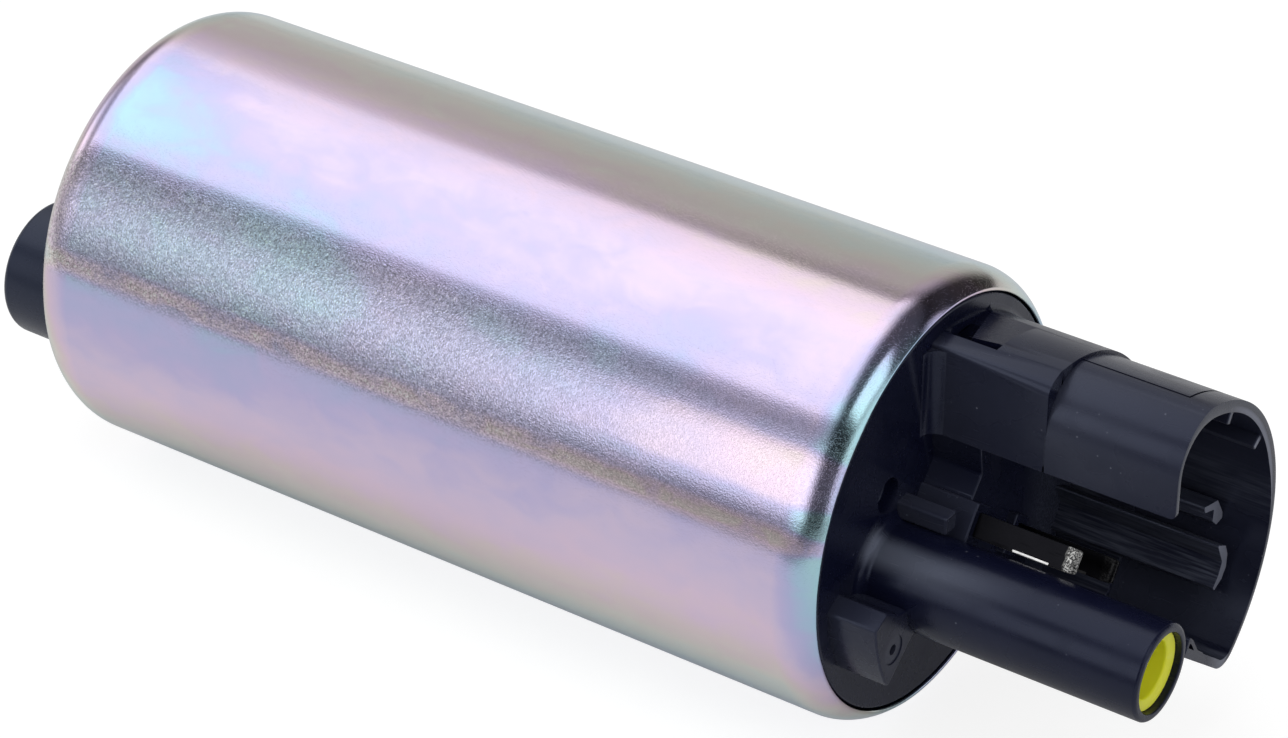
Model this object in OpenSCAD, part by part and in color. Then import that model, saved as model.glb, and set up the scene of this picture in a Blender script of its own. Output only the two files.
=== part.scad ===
// In-tank electric fuel pump: a rolled steel can with an armature motor,
// a vane impeller stage at the inlet end and a moulded outlet cover that
// carries the outlet tube, the check valve, the relief valve and the plug shroud.
// The frame's origin is the middle of the can on the motor axis.
// +X runs along the axis to the outlet end and +Z is up as the pump lies.

/* [Can] */
// Outside diameter of the steel can
can_d = 38; // [36:0.5:42]
// Length of the can over both rolled ends
can_len = 79.2; // [74:0.2:90]
// Wall thickness of the can
can_wall = 1.2; // [1:0.1:1.4]
// Outside radius of the rolled shoulder at the outlet end
outlet_roll = 4; // [3.4:0.1:4.4]
// Outside radius of the rolled shoulder at the inlet end
inlet_roll = 3.3; // [2.8:0.1:4]
// How far each rolled lip reaches in from the can's outside
lip_reach = 1.55; // [1.4:0.05:2]

/* [Outlet cover] */
// Thickness of the outlet cover's end plate
cover_t = 3; // [2.6:0.1:3.6]
// Depth of the cover's skirt behind the end plate
skirt_len = 7.8; // [7.4:0.1:9]
// Wall thickness of the skirt
skirt_wall = 2; // [1.8:0.1:2.4]
// Open groove between the cover's face and the rolled lip
rim_gap = 0.35; // [0.2:0.05:0.6]
// Height of the raised bosses on the cover's face
boss_h = 4.4; // [4:0.1:5]

/* [Outlet tube] */
// Outside diameter of the outlet tube
tube_d = 8; // [7.6:0.1:8.4]
// Length of the outlet tube from the cover's face
tube_len = 24.4; // [20:0.2:28]
// Sideways place of the outlet tube, along Y
tube_y = -7.4; // [-7.6:0.1:-7]
// Place of the outlet tube, along Z
tube_z = -1.9; // [-2.4:0.1:-1.4]
// Bore at the mouth, which holds the check valve's sleeve
tube_bore = 6.6; // [6.2:0.1:6.8]
// Fillet radius where the tube meets the cover
tube_fillet = 0.8; // [0.5:0.1:1.1]
// How far the tube's root stands proud of the length that takes the hose
root_step = 0.2; // [0.18:0.01:0.3]

/* [Plug shroud] */
// Outside radius of the shroud about the motor axis
shroud_r = 15.6; // [15.2:0.1:16]
// Wall thickness of the shroud
shroud_wall = 1; // [0.8:0.05:1.2]
// Length of the shroud from the cover's face
shroud_len = 21.7; // [19:0.1:25]
// Length of the thicker collar at the shroud's base
collar_len = 10.3; // [8:0.1:12]
// How far the collar stands proud of the shroud
collar_step = 0.3; // [0.2:0.05:0.4]
// Outer face of the shroud's flat side, along Y
side_y = -1.65; // [-1.9:0.05:-1.4]
// Height at which the flat side ends, along Z
side_foot = 7.7; // [7:0.1:9]
// Rounding between the flat side and the round wall
head_r = 4.4; // [3.6:0.1:5]
// Rounding between the round wall and the heel wall
heel_r = 2.2; // [1.8:0.1:3]
// Distance of the heel wall's outer face from the motor axis
heel_off = 4.47; // [4:0.05:5]
// Direction in which the heel wall's outer face looks, in degrees
heel_angle = 231.3; // [228:0.1:235]
// Height of the two guide ribs inside the shroud's head
rib_h = 1.1; // [0.8:0.1:1.4]
// Thickness of the guide ribs
rib_t = 0.6; // [0.5:0.05:0.8]

/* [Terminals] */
// Width of each terminal blade
blade_w = 2; // [1.8:0.1:2.4]
// Thickness of each terminal blade
blade_t = 0.8; // [0.6:0.05:1]
// Length of each blade above its pad
blade_len = 9; // [7:0.1:10]
// Distance between the two blades, face to face centre
blade_pitch = 7.8; // [7.2:0.1:8.2]
// Direction from the first blade to the second, in degrees
blade_angle = -36; // [-40:1:-32]
// Height of the pad that each blade stands on
pad_h = 0.8; // [0.5:0.1:1.2]

/* [Relief valve] */
// Bore of the relief valve
relief_bore = 2.5; // [2.4:0.05:2.6]
// Place of the relief valve, along Y
relief_y = -13.1; // [-13.2:0.05:-12.9]
// Place of the relief valve, along Z
relief_z = -4.65; // [-4.9:0.05:-4.4]
// Lift of the relief ball
relief_lift = 0.8; // [0.5:0.1:1]

/* [Check valve] */
// Bore of the yellow sleeve
sleeve_bore = 4.7; // [4.4:0.1:5]
// Length of the yellow sleeve
sleeve_len = 12.4; // [11:0.2:13]
// Depth of the sleeve's mouth below the tube's rim
sleeve_sink = 0.65; // [0.4:0.05:1]
// Lift of the check valve
check_lift = 2; // [1.5:0.1:2.4]

/* [Inlet cover] */
// Outside diameter of the inlet stub
stub_d = 12; // [11:0.1:12.4]
// Length of the inlet stub from the cover's face
stub_len = 8.2; // [6:0.1:10]
// Wall thickness of the inlet stub
stub_wall = 1.5; // [1.2:0.1:2]
// Distance of the inlet stub from the motor axis
stub_off = 9.4; // [9:0.1:9.6]
// Direction of the inlet stub from the motor axis, in degrees
stub_angle = 200; // [195:1:205]
// Thickness of the inlet cover
inlet_t = 6; // [5.4:0.1:7]

/* [Pump stage] */
// Diameter of the impeller
impeller_d = 30; // [28.6:0.1:31]
// Thickness of the impeller
impeller_t = 3.8; // [3.4:0.1:4.2]
// Number of vanes round the impeller
vanes = 31; // [23:1:37]
// Radial depth of the vane pockets
vane_depth = 2.4; // [2:0.1:2.8]
// Running gap on each side of the impeller
side_gap = 0.1; // [0.08:0.01:0.15]
// Thickness of the casing plate between the impeller and the motor
casing_t = 4; // [3.6:0.1:5]

/* [Motor] */
// Diameter of the shaft
shaft_d = 5; // [4:0.1:5.2]
// Diameter of the armature core
core_d = 27.2; // [26:0.1:27.4]
// Number of slots in the armature core
slots = 8; // [6:1:10]
// Air gap between the core and the magnets
air_gap = 0.5; // [0.4:0.05:0.7]
// Angle that each magnet spans, in degrees
magnet_span = 130; // [120:1:140]
// Height of a winding head beyond the core
head_len = 5; // [4:0.1:5.6]
// Diameter of the commutator
commutator_d = 19.2; // [18:0.1:20]
// Thickness of the commutator's copper segments
segment_t = 3; // [2.4:0.1:3.6]
// Width of the slits between the segments
segment_slit = 0.5; // [0.4:0.05:0.7]

/* [Brushes] */
// Width of a brush, across the radius
brush_w = 4.6; // [4:0.1:5]
// Thickness of a brush, along the radius
brush_t = 4; // [3.6:0.1:4.4]
// Length of a brush
brush_len = 6; // [5:0.1:6.4]
// Distance of a brush from the motor axis
brush_off = 6.8; // [6.5:0.1:7.2]
// Direction of the first brush from the motor axis, in degrees
brush_angle = 55; // [50:1:60]
// Travel of a brush in its tube as it wears
brush_travel = 1.5; // [1:0.1:2]

/* [Hidden] */

// Faces on a full turn of a large and of a small round surface
round_fn = 96;
small_fn = 48;
// Length by which a cutting shape passes through the face that it opens
over = 1;
// Slack between a piece and the wall that it seats in, on the radius
seat = 0.02;
// Running clearance of a shaft or a stem in its bore, on the radius
running = 0.03;
// Gap between parts that move past each other with room to spare
free_gap = 0.3;

can_r = can_d / 2;
can_in = can_r - can_wall;
lip_r = can_r - lip_reach;
outlet_x = can_len / 2;
inlet_x = -can_len / 2;
face_x = outlet_x - can_wall;
inlet_face_x = inlet_x + can_wall;
cover_r = can_in - seat;

// Depths of the outlet end, measured from the cover's face
plate_in = cover_t;
skirt_end = cover_t + skirt_len;
carrier_t = 2.4;
carrier_x = face_x - skirt_end - carrier_t;
tube_wall = 0.8;
brush_tube_below = 4.4;
brush_proud = 0.9;
brush_gap = 0.05;
brush_face_x = carrier_x - brush_tube_below - brush_proud;
brush_top_x = brush_face_x + brush_len;
// Closed height of a brush spring, with the slack that it keeps at full travel
brush_coil_h = 3.6;
tube_top_x = brush_top_x + brush_travel + brush_coil_h + tube_wall;
commutator_x = brush_face_x - brush_gap;
hub_t = 2.2;
hub_x = commutator_x - segment_t - hub_t;
head_gap = 0.8;
core_top_x = hub_x - head_gap - head_len;

// Heights of the inlet end, measured from the inlet cover's face
chamber_x = inlet_face_x + inlet_t;
chamber_t = impeller_t + 2 * side_gap;
casing_top_x = chamber_x + chamber_t + casing_t;
casing_hub = 4;
core_low_x = casing_top_x + casing_hub + head_gap + head_len;
core_len = core_top_x - core_low_x;

shaft_r = shaft_d / 2;
bush_r = shaft_r + 1.8;
bush_len = 6;
magnet_in = core_d / 2 + air_gap;
magnet_over = 3.5;
casing_r = can_in - seat;
impeller_r = impeller_d / 2;
chamber_r = impeller_r + 0.15;
channel_in = impeller_r - vane_depth - 0.4;
channel_depth = 1.2;

// Moves a shape drawn in (Y, Z), or turned about its own axis, so that it runs along X
module along_x(x = 0, y = 0, z = 0) {
    translate([x, y, z]) rotate([90, 0, 90]) children();
}

// A round bar along X from x0 to x1
module bar_x(x0, x1, r, y = 0, z = 0, fn = small_fn) {
    along_x(x0, y, z) cylinder(h = x1 - x0, r = r, $fn = fn);
}

// A shape of revolution about the motor axis, drawn as (radius, X)
module spun(x = 0) {
    along_x(x) rotate_extrude($fn = round_fn) children();
}

// A flat outline in (Y, Z) that is drawn out along X from x0 to x1
module drawn_x(x0, x1) {
    along_x(x0) linear_extrude(x1 - x0) children();
}

// Moves a shape to radius r at an angle about the motor axis, turned with it
module polar(angle, r = 0) {
    rotate([angle, 0, 0]) translate([0, r, 0]) children();
}

// Points along an arc that leave out its first point
function arc(centre, r, a0, a1, n) =
    [for (i = [1:n]) centre + r * [cos(a0 + (a1 - a0) * i / n), sin(a0 + (a1 - a0) * i / n)]];

function unit(a) = [cos(a), sin(a)];

function reversed(list) = [for (i = [len(list) - 1:-1:0]) list[i]];

// A helix of round wire along X, as one closed tube
function helix_rings(r, wire_r, turns, length, steps, sides) =
    [for (i = [0:turns * steps])
        let (a = 360 * i / steps, x = length * i / (turns * steps))
        for (j = [0:sides - 1])
            let (b = 360 * j / sides, rr = r + wire_r * cos(b))
            [x + wire_r * sin(b), rr * cos(a), rr * sin(a)]];

module helix_x(r, wire_r, turns, length, steps = 12, sides = 6) {
    n = turns * steps;
    side_faces = [for (i = [0:n - 1]) for (j = [0:sides - 1])
        let (k = (j + 1) % sides)
        each [[i * sides + j, i * sides + k, (i + 1) * sides + k],
              [i * sides + j, (i + 1) * sides + k, (i + 1) * sides + j]]];
    first_cap = [for (j = [1:sides - 2]) [0, j + 1, j]];
    last_cap = [for (j = [1:sides - 2]) [n * sides, n * sides + j, n * sides + j + 1]];
    polyhedron(points = helix_rings(r, wire_r, turns, length, steps, sides),
        faces = concat(side_faces, first_cap, last_cap));
}

// Half section of the can's outside or inside, inset by t
module can_section(t) {
    r = can_r - t;
    r_out = outlet_roll - t;
    r_in = inlet_roll - t;
    x_low = inlet_x + t;
    x_top = outlet_x - t;
    translate([0, x_low + r_in]) square([r, x_top - r_out - x_low - r_in]);
    translate([0, x_low]) square([r - r_in, x_top - x_low]);
    translate([r - r_out, x_top - r_out]) intersection() {
        circle(r_out, $fn = round_fn);
        square(r_out);
    }
    translate([r - r_in, x_low + r_in]) intersection() {
        circle(r_in, $fn = round_fn);
        translate([0, -r_in]) square(r_in);
    }
}

module can() {
    color("gainsboro") spun() difference() {
        can_section(0);
        can_section(can_wall);
        translate([0, inlet_x - over]) square([lip_r, can_len + 2 * over]);
    }
}

// Rings of the outlet cover under the rolled lip, as a half section from the axis out
module cover_section() {
    roll_c = can_r - outlet_roll;
    roll_x = outlet_x - outlet_roll;
    face_r = lip_r - rim_gap;
    under_lip = outlet_roll - can_wall - seat;
    rim_x = face_x - plate_in;
    translate([0, rim_x]) square([face_r, plate_in]);
    translate([0, face_x - skirt_end]) difference() {
        square([cover_r, roll_x - face_x + skirt_end]);
        square([cover_r - skirt_wall, skirt_end - plate_in]);
    }
    intersection() {
        translate([roll_c, roll_x]) circle(under_lip, $fn = round_fn);
        translate([lip_r - under_lip, roll_x - seat]) square([under_lip, under_lip]);
    }
}

seal_x = face_x - plate_in - 3.4;
seal_w = 2.2;
seal_depth = 1.3;
seal_play = 0.05;

// Outline of the plug shroud from the foot of its flat side round to its heel, inset by t.
// The collar at its base, with t under 0, has a squared head and keeps the same flat side.
function shroud_path(t) =
    let (c1y = side_y + head_r,
        c1z = sqrt(pow(shroud_r - head_r, 2) - pow(c1y, 2)),
        a1 = t < 0 ? sharp_angle : atan2(c1z, c1y),
        k = heel_off - heel_r,
        along = sqrt(pow(shroud_r - heel_r, 2) - pow(k, 2)),
        c2 = k * unit(heel_angle) + along * unit(heel_angle + 90),
        a2 = atan2(c2[1], c2[0]),
        head = t < 0 ? [[side_y, shroud_r], (shroud_r - t) * unit(sharp_angle)]
            : concat([[side_y + t, c1z]], arc([c1y, c1z], head_r - t, 180, a1, 10)))
    concat([[side_y + max(t, 0), side_foot]], head,
        arc([0, 0], shroud_r - t, a1, a2, 40),
        arc(c2, heel_r - t, a2, heel_angle - 360, 8),
        [(heel_off - t) * unit(heel_angle) + heel_foot * unit(heel_angle + 90)]);

sharp_angle = 90;
heel_foot = 5.9;

// Mouth side of the plug platform, from the heel's foot back to the flat side's foot
platform_mouth = [[-1.2, -3.6], [-3.7, 0.3], [-1.9, 3.3], [-0.7, 4.7], [-1, 6.4]];

module shroud_wall_outline(t, wall) {
    polygon(concat(shroud_path(t), reversed(shroud_path(wall))));
}

// The same outline closed across its mouth, as the platform at its base
module platform_outline(t) {
    polygon(concat(shroud_path(t), platform_mouth));
}

// Moves a shape to the plug's own directions: Y from blade to blade, Z along a blade's width
plug_shift = -0.42;
plug_middle = 1.3;
module at_blade(side) {
    rotate([blade_angle, 0, 0])
        translate([0, plug_middle + side * blade_pitch / 2, plug_shift]) children();
}

// Latch recess as (radius, distance from the face): a pocket and the ramp that rises from it
latch_x = 4.7;
latch_section = [[shroud_r - 0.6, 0.15], [shroud_r + 2, 0.15], [shroud_r + 2, latch_x],
    [shroud_r + collar_step, latch_x], [shroud_r - 0.4, 1.2], [shroud_r - 0.6, 1.1]];
latch_from = 66;
latch_to = 86.7;

// Rail with a bent section that keys the plug, and the shorter rail with a hooked section
bent_rail = [[11.4, -3.1], [12.8, -3.9], [13.3, -5], [14.6, -5], [14.2, -6], [13.2, -6],
    [12.5, -7], [11.3, -7.45], [11.1, -7.1], [11.85, -6.3], [12.35, -5.25], [11.65, -3.7]];
hooked_rail = [[11.4, -0.1], [13.8, -0.7], [14.8, -2.6], [13.8, -3.1], [13.1, -2.4],
    [13.2, -1.3], [11.7, -0.8]];
bent_rail_len = 19.2;
hooked_rail_len = 17.7;
module key_rails() {
    drawn_x(face_x - over, face_x + bent_rail_len) polygon(bent_rail);
    drawn_x(face_x - over, face_x + hooked_rail_len) polygon(hooked_rail);
}

rib_angles = [60.2, 30.3];
rib_sink = 0.3;
module guide_ribs() {
    for (a = rib_angles)
        polar(a, shroud_r - shroud_wall - rib_h)
            translate([face_x, 0, -rib_t / 2])
                cube([shroud_len - rib_sink, rib_h + shroud_wall / 2, rib_t]);
}

// Boss that joins the outlet tube to the cover's rim and holds the relief valve
boss_r = 15.9;
boss_low = 209.5;
boss_high = 184.7;
boss_under = [[tube_y - 1, tube_z - 2.4], [relief_y + 2.7, relief_z - 0.35]];
boss_top = [[relief_y - 1.2, relief_z + 4.15], [relief_y + 0.7, relief_z + 2.95],
    [relief_y + 2.1, relief_z + 2.65], [tube_y - 1, tube_z + 1]];
module relief_boss() {
    drawn_x(face_x - over, face_x + boss_h)
        polygon(concat(boss_under, [boss_r * unit(boss_low)],
            arc([0, 0], boss_r, boss_low, boss_high, 8), boss_top));
}

root_r = tube_d / 2 + root_step;
root_len = boss_h + pad_h + 0.1;
root_taper = 0.5;

relief_seat_r = 0.7;
relief_seat_x = face_x - 1.2;
relief_ball_r = 1.05;
check_seat_x = face_x + 1.6;
check_seat_r = 1.9;
lower_bore_r = 2.6;
sleeve_x0 = face_x + tube_len - sleeve_sink - sleeve_len;
sleeve_r = tube_bore / 2;
dimple_r = 1.5;
dimple_depth = 1.4;
dimple_y = -7.4;
dimple_z = 4.8;
slit_x = 2.5;
slit_len = 2.2;
slit_w = 0.9;
slit_angle = 88.2;
panel_depth = 0.2;
panel_gap = 0.6;
panel_end_gap = 1;
panel_from = 31;
panel_turn = 45;
pad_t = 2.4;
pad_w = 3.4;
block_y = -5.96;
block_z = 1.86;
block_w = 1.6;
heel_lip = [[1.97, -7.31], [2.54, -5.63], [4, -7.8], [4.6, -8.7], [3, -8.9]];

module outlet_cover() {
    color([0.1, 0.1, 0.11]) difference() {
        union() {
            spun() cover_section();
            // Outlet tube with its base fillet and its root, which tapers into the hose length
            bar_x(face_x - 1, face_x + tube_len, tube_d / 2, tube_y, tube_z);
            bar_x(face_x - 1, face_x + root_len, root_r, tube_y, tube_z);
            along_x(face_x + root_len, tube_y, tube_z)
                cylinder(h = root_taper, r1 = root_r, r2 = tube_d / 2, $fn = small_fn);
            along_x(face_x, tube_y, tube_z) rotate_extrude($fn = small_fn) difference() {
                square([root_r + tube_fillet, tube_fillet]);
                translate([root_r + tube_fillet, tube_fillet]) circle(tube_fillet, $fn = small_fn);
            }
            drawn_x(face_x - over, face_x + boss_h) platform_outline(-collar_step);
            drawn_x(face_x - over, face_x + collar_len) shroud_wall_outline(-collar_step, shroud_wall);
            drawn_x(face_x - over, face_x + shroud_len) shroud_wall_outline(0, shroud_wall);
            guide_ribs();
            key_rails();
            relief_boss();
            // Thickened end of the heel wall, turned in towards the blades
            drawn_x(face_x - over, face_x + shroud_len) polygon(heel_lip);
            // Short block beside the outlet tube
            translate([face_x - over, block_y, block_z]) cube([boss_h + over, block_w, block_w]);
            for (side = [-1, 1])
                at_blade(side) translate([face_x, -pad_t / 2, -pad_w / 2])
                    cube([boss_h + pad_h, pad_t, pad_w]);
        }
        // Seal groove
        spun(seal_x) translate([cover_r - seal_depth, 0]) square([seal_depth + over, seal_w]);
        // Outlet bore: sleeve seat, valve chamber and passage
        bar_x(sleeve_x0, face_x + tube_len + over, sleeve_r, tube_y, tube_z);
        bar_x(check_seat_x, sleeve_x0 + over, lower_bore_r, tube_y, tube_z);
        bar_x(face_x - plate_in - over, check_seat_x + over, check_seat_r, tube_y, tube_z);
        // Relief valve bore and its seat hole
        bar_x(relief_seat_x, face_x + boss_h + over, relief_bore / 2, relief_y, relief_z);
        bar_x(face_x - plate_in - over, relief_seat_x + over, relief_seat_r, relief_y, relief_z);
        // Slots that the terminal blades pass through
        for (side = [-1, 1])
            at_blade(side) translate([face_x - plate_in - over, -blade_t / 2 - seat, -blade_w / 2 - seat])
                cube([plate_in + boss_h + pad_h + 2 * over, blade_t + 2 * seat, blade_w + 2 * seat]);
        // Round dimple in the face above the short block
        bar_x(face_x - dimple_depth, face_x + over, dimple_r, dimple_y, dimple_z);
        // Latch recess at the foot of the round wall, and the slit at its end
        along_x(face_x) rotate([0, 0, latch_from])
            rotate_extrude(angle = latch_to - latch_from, $fn = round_fn) polygon(latch_section);
        polar(slit_angle, shroud_r - shroud_wall - over / 2) translate([face_x + slit_x, 0, -slit_w / 2])
            cube([slit_len, shroud_wall + 2 * over, slit_w]);
        // Shallow panel on the round wall
        along_x(face_x + collar_len + panel_gap) rotate([0, 0, panel_from])
            rotate_extrude(angle = panel_turn, $fn = round_fn) translate([shroud_r - panel_depth, 0])
            square([over, shroud_len - collar_len - panel_gap - panel_end_gap]);
    }
}

module cover_seal() {
    color([0.08, 0.08, 0.08]) spun(seal_x + seal_w / 2) intersection() {
        translate([cover_r - seal_depth / 2, 0]) circle(seal_w / 2 - seal_play, $fn = small_fn);
        translate([cover_r - seal_depth, -seal_w / 2]) square([seal_depth, seal_w]);
    }
}

// Blade with a bevelled tip, its root through the cover and the foot behind the end plate
foot_t = 0.8;
foot_len = 4.4;
tip_slope = 1.1;
tip_t = 0.3;
module terminal(side) {
    tip_x = face_x + boss_h + pad_h + blade_len;
    bevel = 0.5;
    color("lightgrey") at_blade(side) {
        intersection() {
            translate([0, blade_t / 2, 0]) rotate([90, 0, 0]) linear_extrude(blade_t)
                polygon([[face_x - plate_in - foot_t, -blade_w / 2], [tip_x - bevel, -blade_w / 2],
                    [tip_x, -blade_w / 2 + bevel], [tip_x, blade_w / 2 - bevel],
                    [tip_x - bevel, blade_w / 2], [face_x - plate_in - foot_t, blade_w / 2]]);
            // Both faces slope to a thin edge at the tip
            translate([0, 0, -blade_w / 2]) linear_extrude(blade_w)
                polygon([[face_x - plate_in - foot_t, -blade_t / 2], [tip_x - tip_slope, -blade_t / 2],
                    [tip_x, -tip_t / 2], [tip_x, tip_t / 2], [tip_x - tip_slope, blade_t / 2],
                    [face_x - plate_in - foot_t, blade_t / 2]]);
        }
        translate([face_x - plate_in - foot_t, min(0, side * foot_len), -blade_w / 2])
            cube([foot_t, foot_len, blade_w]);
    }
}
module terminal_positive() { terminal(-1); }
module terminal_negative() { terminal(1); }

web_t = 1.2;
web_x = sleeve_x0 + 1.4;
stem_r = 0.8;
module check_valve_sleeve() {
    mouth_r = sleeve_bore / 2 + 0.45;
    color([0.85, 0.8, 0.1]) {
        difference() {
            bar_x(sleeve_x0, sleeve_x0 + sleeve_len, sleeve_r - seat, tube_y, tube_z);
            bar_x(sleeve_x0 - over, sleeve_x0 + sleeve_len + over, sleeve_bore / 2, tube_y, tube_z);
            // Dished mouth
            along_x(sleeve_x0 + sleeve_len - 0.6, tube_y, tube_z)
                cylinder(h = 0.61, r1 = sleeve_bore / 2, r2 = mouth_r, $fn = small_fn);
        }
        // Three spokes and the hub that guides the poppet's stem
        difference() {
            intersection() {
                union() {
                    bar_x(web_x, web_x + web_t, stem_r + 0.7, tube_y, tube_z);
                    for (a = [0:120:240])
                        translate([web_x, tube_y, tube_z]) rotate([a, 0, 0])
                            translate([0, 0, -0.35]) cube([web_t, sleeve_r, 0.7]);
                }
                bar_x(web_x, web_x + web_t, sleeve_bore / 2 + 0.2, tube_y, tube_z);
            }
            bar_x(web_x - over, web_x + web_t + over, stem_r + running, tube_y, tube_z);
        }
    }
}

// Poppet whose stem has a shoulder that meets the guide at full lift
head_t = 1.2;
poppet_r = 2.3;
poppet_x = check_seat_x + 0.05;
module check_valve_poppet() {
    color("peru") {
        bar_x(poppet_x, poppet_x + head_t, poppet_r, tube_y, tube_z);
        bar_x(poppet_x + head_t - seat, web_x - check_lift - 0.05, stem_r + 0.15, tube_y, tube_z);
        bar_x(poppet_x + head_t - seat, web_x + web_t + 0.6, stem_r, tube_y, tube_z);
    }
}

// Gap that a spring's end keeps from the face that it bears on
end_gap = 0.03;
check_wire = 0.22;
check_coil_r = 1.5;
module check_valve_spring() {
    x0 = poppet_x + head_t + check_wire + end_gap;
    color("silver") translate([x0, tube_y, tube_z])
        helix_x(check_coil_r, check_wire, 5, web_x - x0 - check_wire - end_gap);
}

// Ball on its seat, and the cage at the height that leaves it its lift over the closed spring
ball_x = relief_seat_x + sqrt(pow(relief_ball_r, 2) - pow(relief_seat_r, 2)) + 0.08;
cage_t = 1.7;
cage_bore = 0.9;
relief_wire = 0.16;
relief_turns = 3;
cage_x = ball_x + relief_ball_r + relief_lift + (relief_turns + 0.4) * 2 * relief_wire;
module relief_valve_cage() {
    color("burlywood") difference() {
        bar_x(cage_x, cage_x + cage_t, relief_bore / 2 - seat, relief_y, relief_z);
        bar_x(cage_x - over, cage_x + cage_t + over, cage_bore / 2, relief_y, relief_z);
    }
}

module relief_valve_ball() {
    color("silver") translate([ball_x, relief_y, relief_z]) rotate([0, 90, 0])
        sphere(relief_ball_r, $fn = small_fn);
}

relief_coil_r = 0.8;
module relief_valve_spring() {
    x0 = ball_x + relief_ball_r + relief_wire + end_gap;
    color("silver") translate([x0, relief_y, relief_z])
        helix_x(relief_coil_r, relief_wire, relief_turns, cage_x - x0 - relief_wire - end_gap);
}

choke_r = 1.3;
choke_wire = 0.35;
choke_gap = 0.1;
choke_len = 4.8;
choke_off = 3.4;
choke_x = face_x - plate_in - foot_t - choke_len;
module choke_core(side) {
    color([0.25, 0.25, 0.27]) at_blade(side) translate([choke_x, side * choke_off, 0])
        along_x() cylinder(h = choke_len, r = choke_r, $fn = small_fn);
}
module choke_coil(side) {
    color("chocolate") at_blade(side) translate([choke_x + 0.6, side * choke_off, 0])
        helix_x(choke_r + choke_wire + choke_gap, choke_wire, 4, choke_len - 1.2);
}
module choke_core_positive() { choke_core(-1); }
module choke_core_negative() { choke_core(1); }
module choke_coil_positive() { choke_coil(-1); }
module choke_coil_negative() { choke_coil(1); }

// Brush side +1 is the first brush, -1 the one across the shaft
module at_brush(side) {
    rotate([brush_angle + (side > 0 ? 0 : 180), 0, 0]) translate([0, brush_off, 0]) children();
}

brush_clear = 0.05;
carrier_hub_r = bush_r + 1.2;
tube_low_x = carrier_x - brush_tube_below;
upper_bush_x = carrier_x - 1.8;
passage_off = 12.6;
passage_r = 2.2;
module brush_space() {
    translate([tube_low_x - over, -brush_t / 2 - brush_clear, -brush_w / 2 - brush_clear])
        cube([tube_top_x - tube_wall - tube_low_x + over, brush_t + 2 * brush_clear,
            brush_w + 2 * brush_clear]);
}

module brush_carrier() {
    color([0.22, 0.22, 0.24]) difference() {
        union() {
            bar_x(carrier_x, carrier_x + carrier_t, casing_r, fn = round_fn);
            bar_x(upper_bush_x - 1, upper_bush_x + bush_len, carrier_hub_r);
            for (side = [-1, 1])
                at_brush(side) translate([tube_low_x, -brush_t / 2 - tube_wall, -brush_w / 2 - tube_wall])
                    cube([tube_top_x - tube_low_x, brush_t + 2 * tube_wall, brush_w + 2 * tube_wall]);
        }
        // Bush seat and shaft passage
        bar_x(upper_bush_x, upper_bush_x + bush_len + over, bush_r);
        bar_x(upper_bush_x - 1 - over, upper_bush_x + over, shaft_r + free_gap);
        for (side = [-1, 1])
            at_brush(side) brush_space();
        // Holes in the tubes' ends for the leads
        for (side = [-1, 1])
            at_brush(side) bar_x(tube_top_x - 2 * tube_wall, tube_top_x + over, lead_r + free_gap);
        // Fuel passages
        for (a = [-20, 100, 160, 280])
            polar(a, passage_off) bar_x(carrier_x - over, carrier_x + carrier_t + over, passage_r);
    }
}

module brush(side) {
    color([0.18, 0.18, 0.19]) at_brush(side)
        translate([brush_face_x, -brush_t / 2, -brush_w / 2]) cube([brush_len, brush_t, brush_w]);
}
module brush_positive() { brush(1); }
module brush_negative() { brush(-1); }

brush_wire = 0.25;
brush_coil_r = 1.3;
module brush_spring(side) {
    x0 = brush_top_x + brush_wire + end_gap;
    color("silver") at_brush(side) translate([x0, 0, 0])
        helix_x(brush_coil_r, brush_wire, 4, tube_top_x - tube_wall - x0 - brush_wire - end_gap);
}
module brush_spring_positive() { brush_spring(1); }
module brush_spring_negative() { brush_spring(-1); }

// Braided lead: from the brush through its spring and the tube's end, and round to its choke
lead_r = 0.45;
lead_x = tube_top_x + 1.2;
module brush_lead(side, end_angle) {
    start_angle = brush_angle + (side > 0 ? 0 : 180);
    color("peru") {
        at_brush(side) {
            bar_x(brush_top_x, lead_x, lead_r - seat, fn = 24);
            translate([lead_x, 0, 0]) sphere(lead_r + seat, $fn = 24);
        }
        along_x(lead_x) rotate([0, 0, start_angle])
            rotate_extrude(angle = end_angle - start_angle, $fn = round_fn)
                translate([brush_off, 0]) circle(lead_r, $fn = 24);
    }
}
module brush_lead_positive() { brush_lead(1, brush_angle + 73); }
module brush_lead_negative() { brush_lead(-1, brush_angle + 250); }

module upper_bush() {
    color("darkgoldenrod") difference() {
        bar_x(upper_bush_x, upper_bush_x + bush_len, bush_r);
        bar_x(upper_bush_x - over, upper_bush_x + bush_len + over, shaft_r + running);
    }
}

shaft_top_x = upper_bush_x + bush_len + 0.8;
shaft_sink = 0.9;
shaft_low_x = chamber_x - shaft_sink;
flat_depth = 0.5;
module armature_shaft() {
    color("lightsteelblue") difference() {
        bar_x(shaft_low_x, shaft_top_x, shaft_r);
        // Driving flat for the impeller
        translate([shaft_low_x - over, shaft_r - flat_depth, -shaft_r])
            cube([over + shaft_sink + chamber_t, shaft_d, shaft_d]);
    }
}

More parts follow.
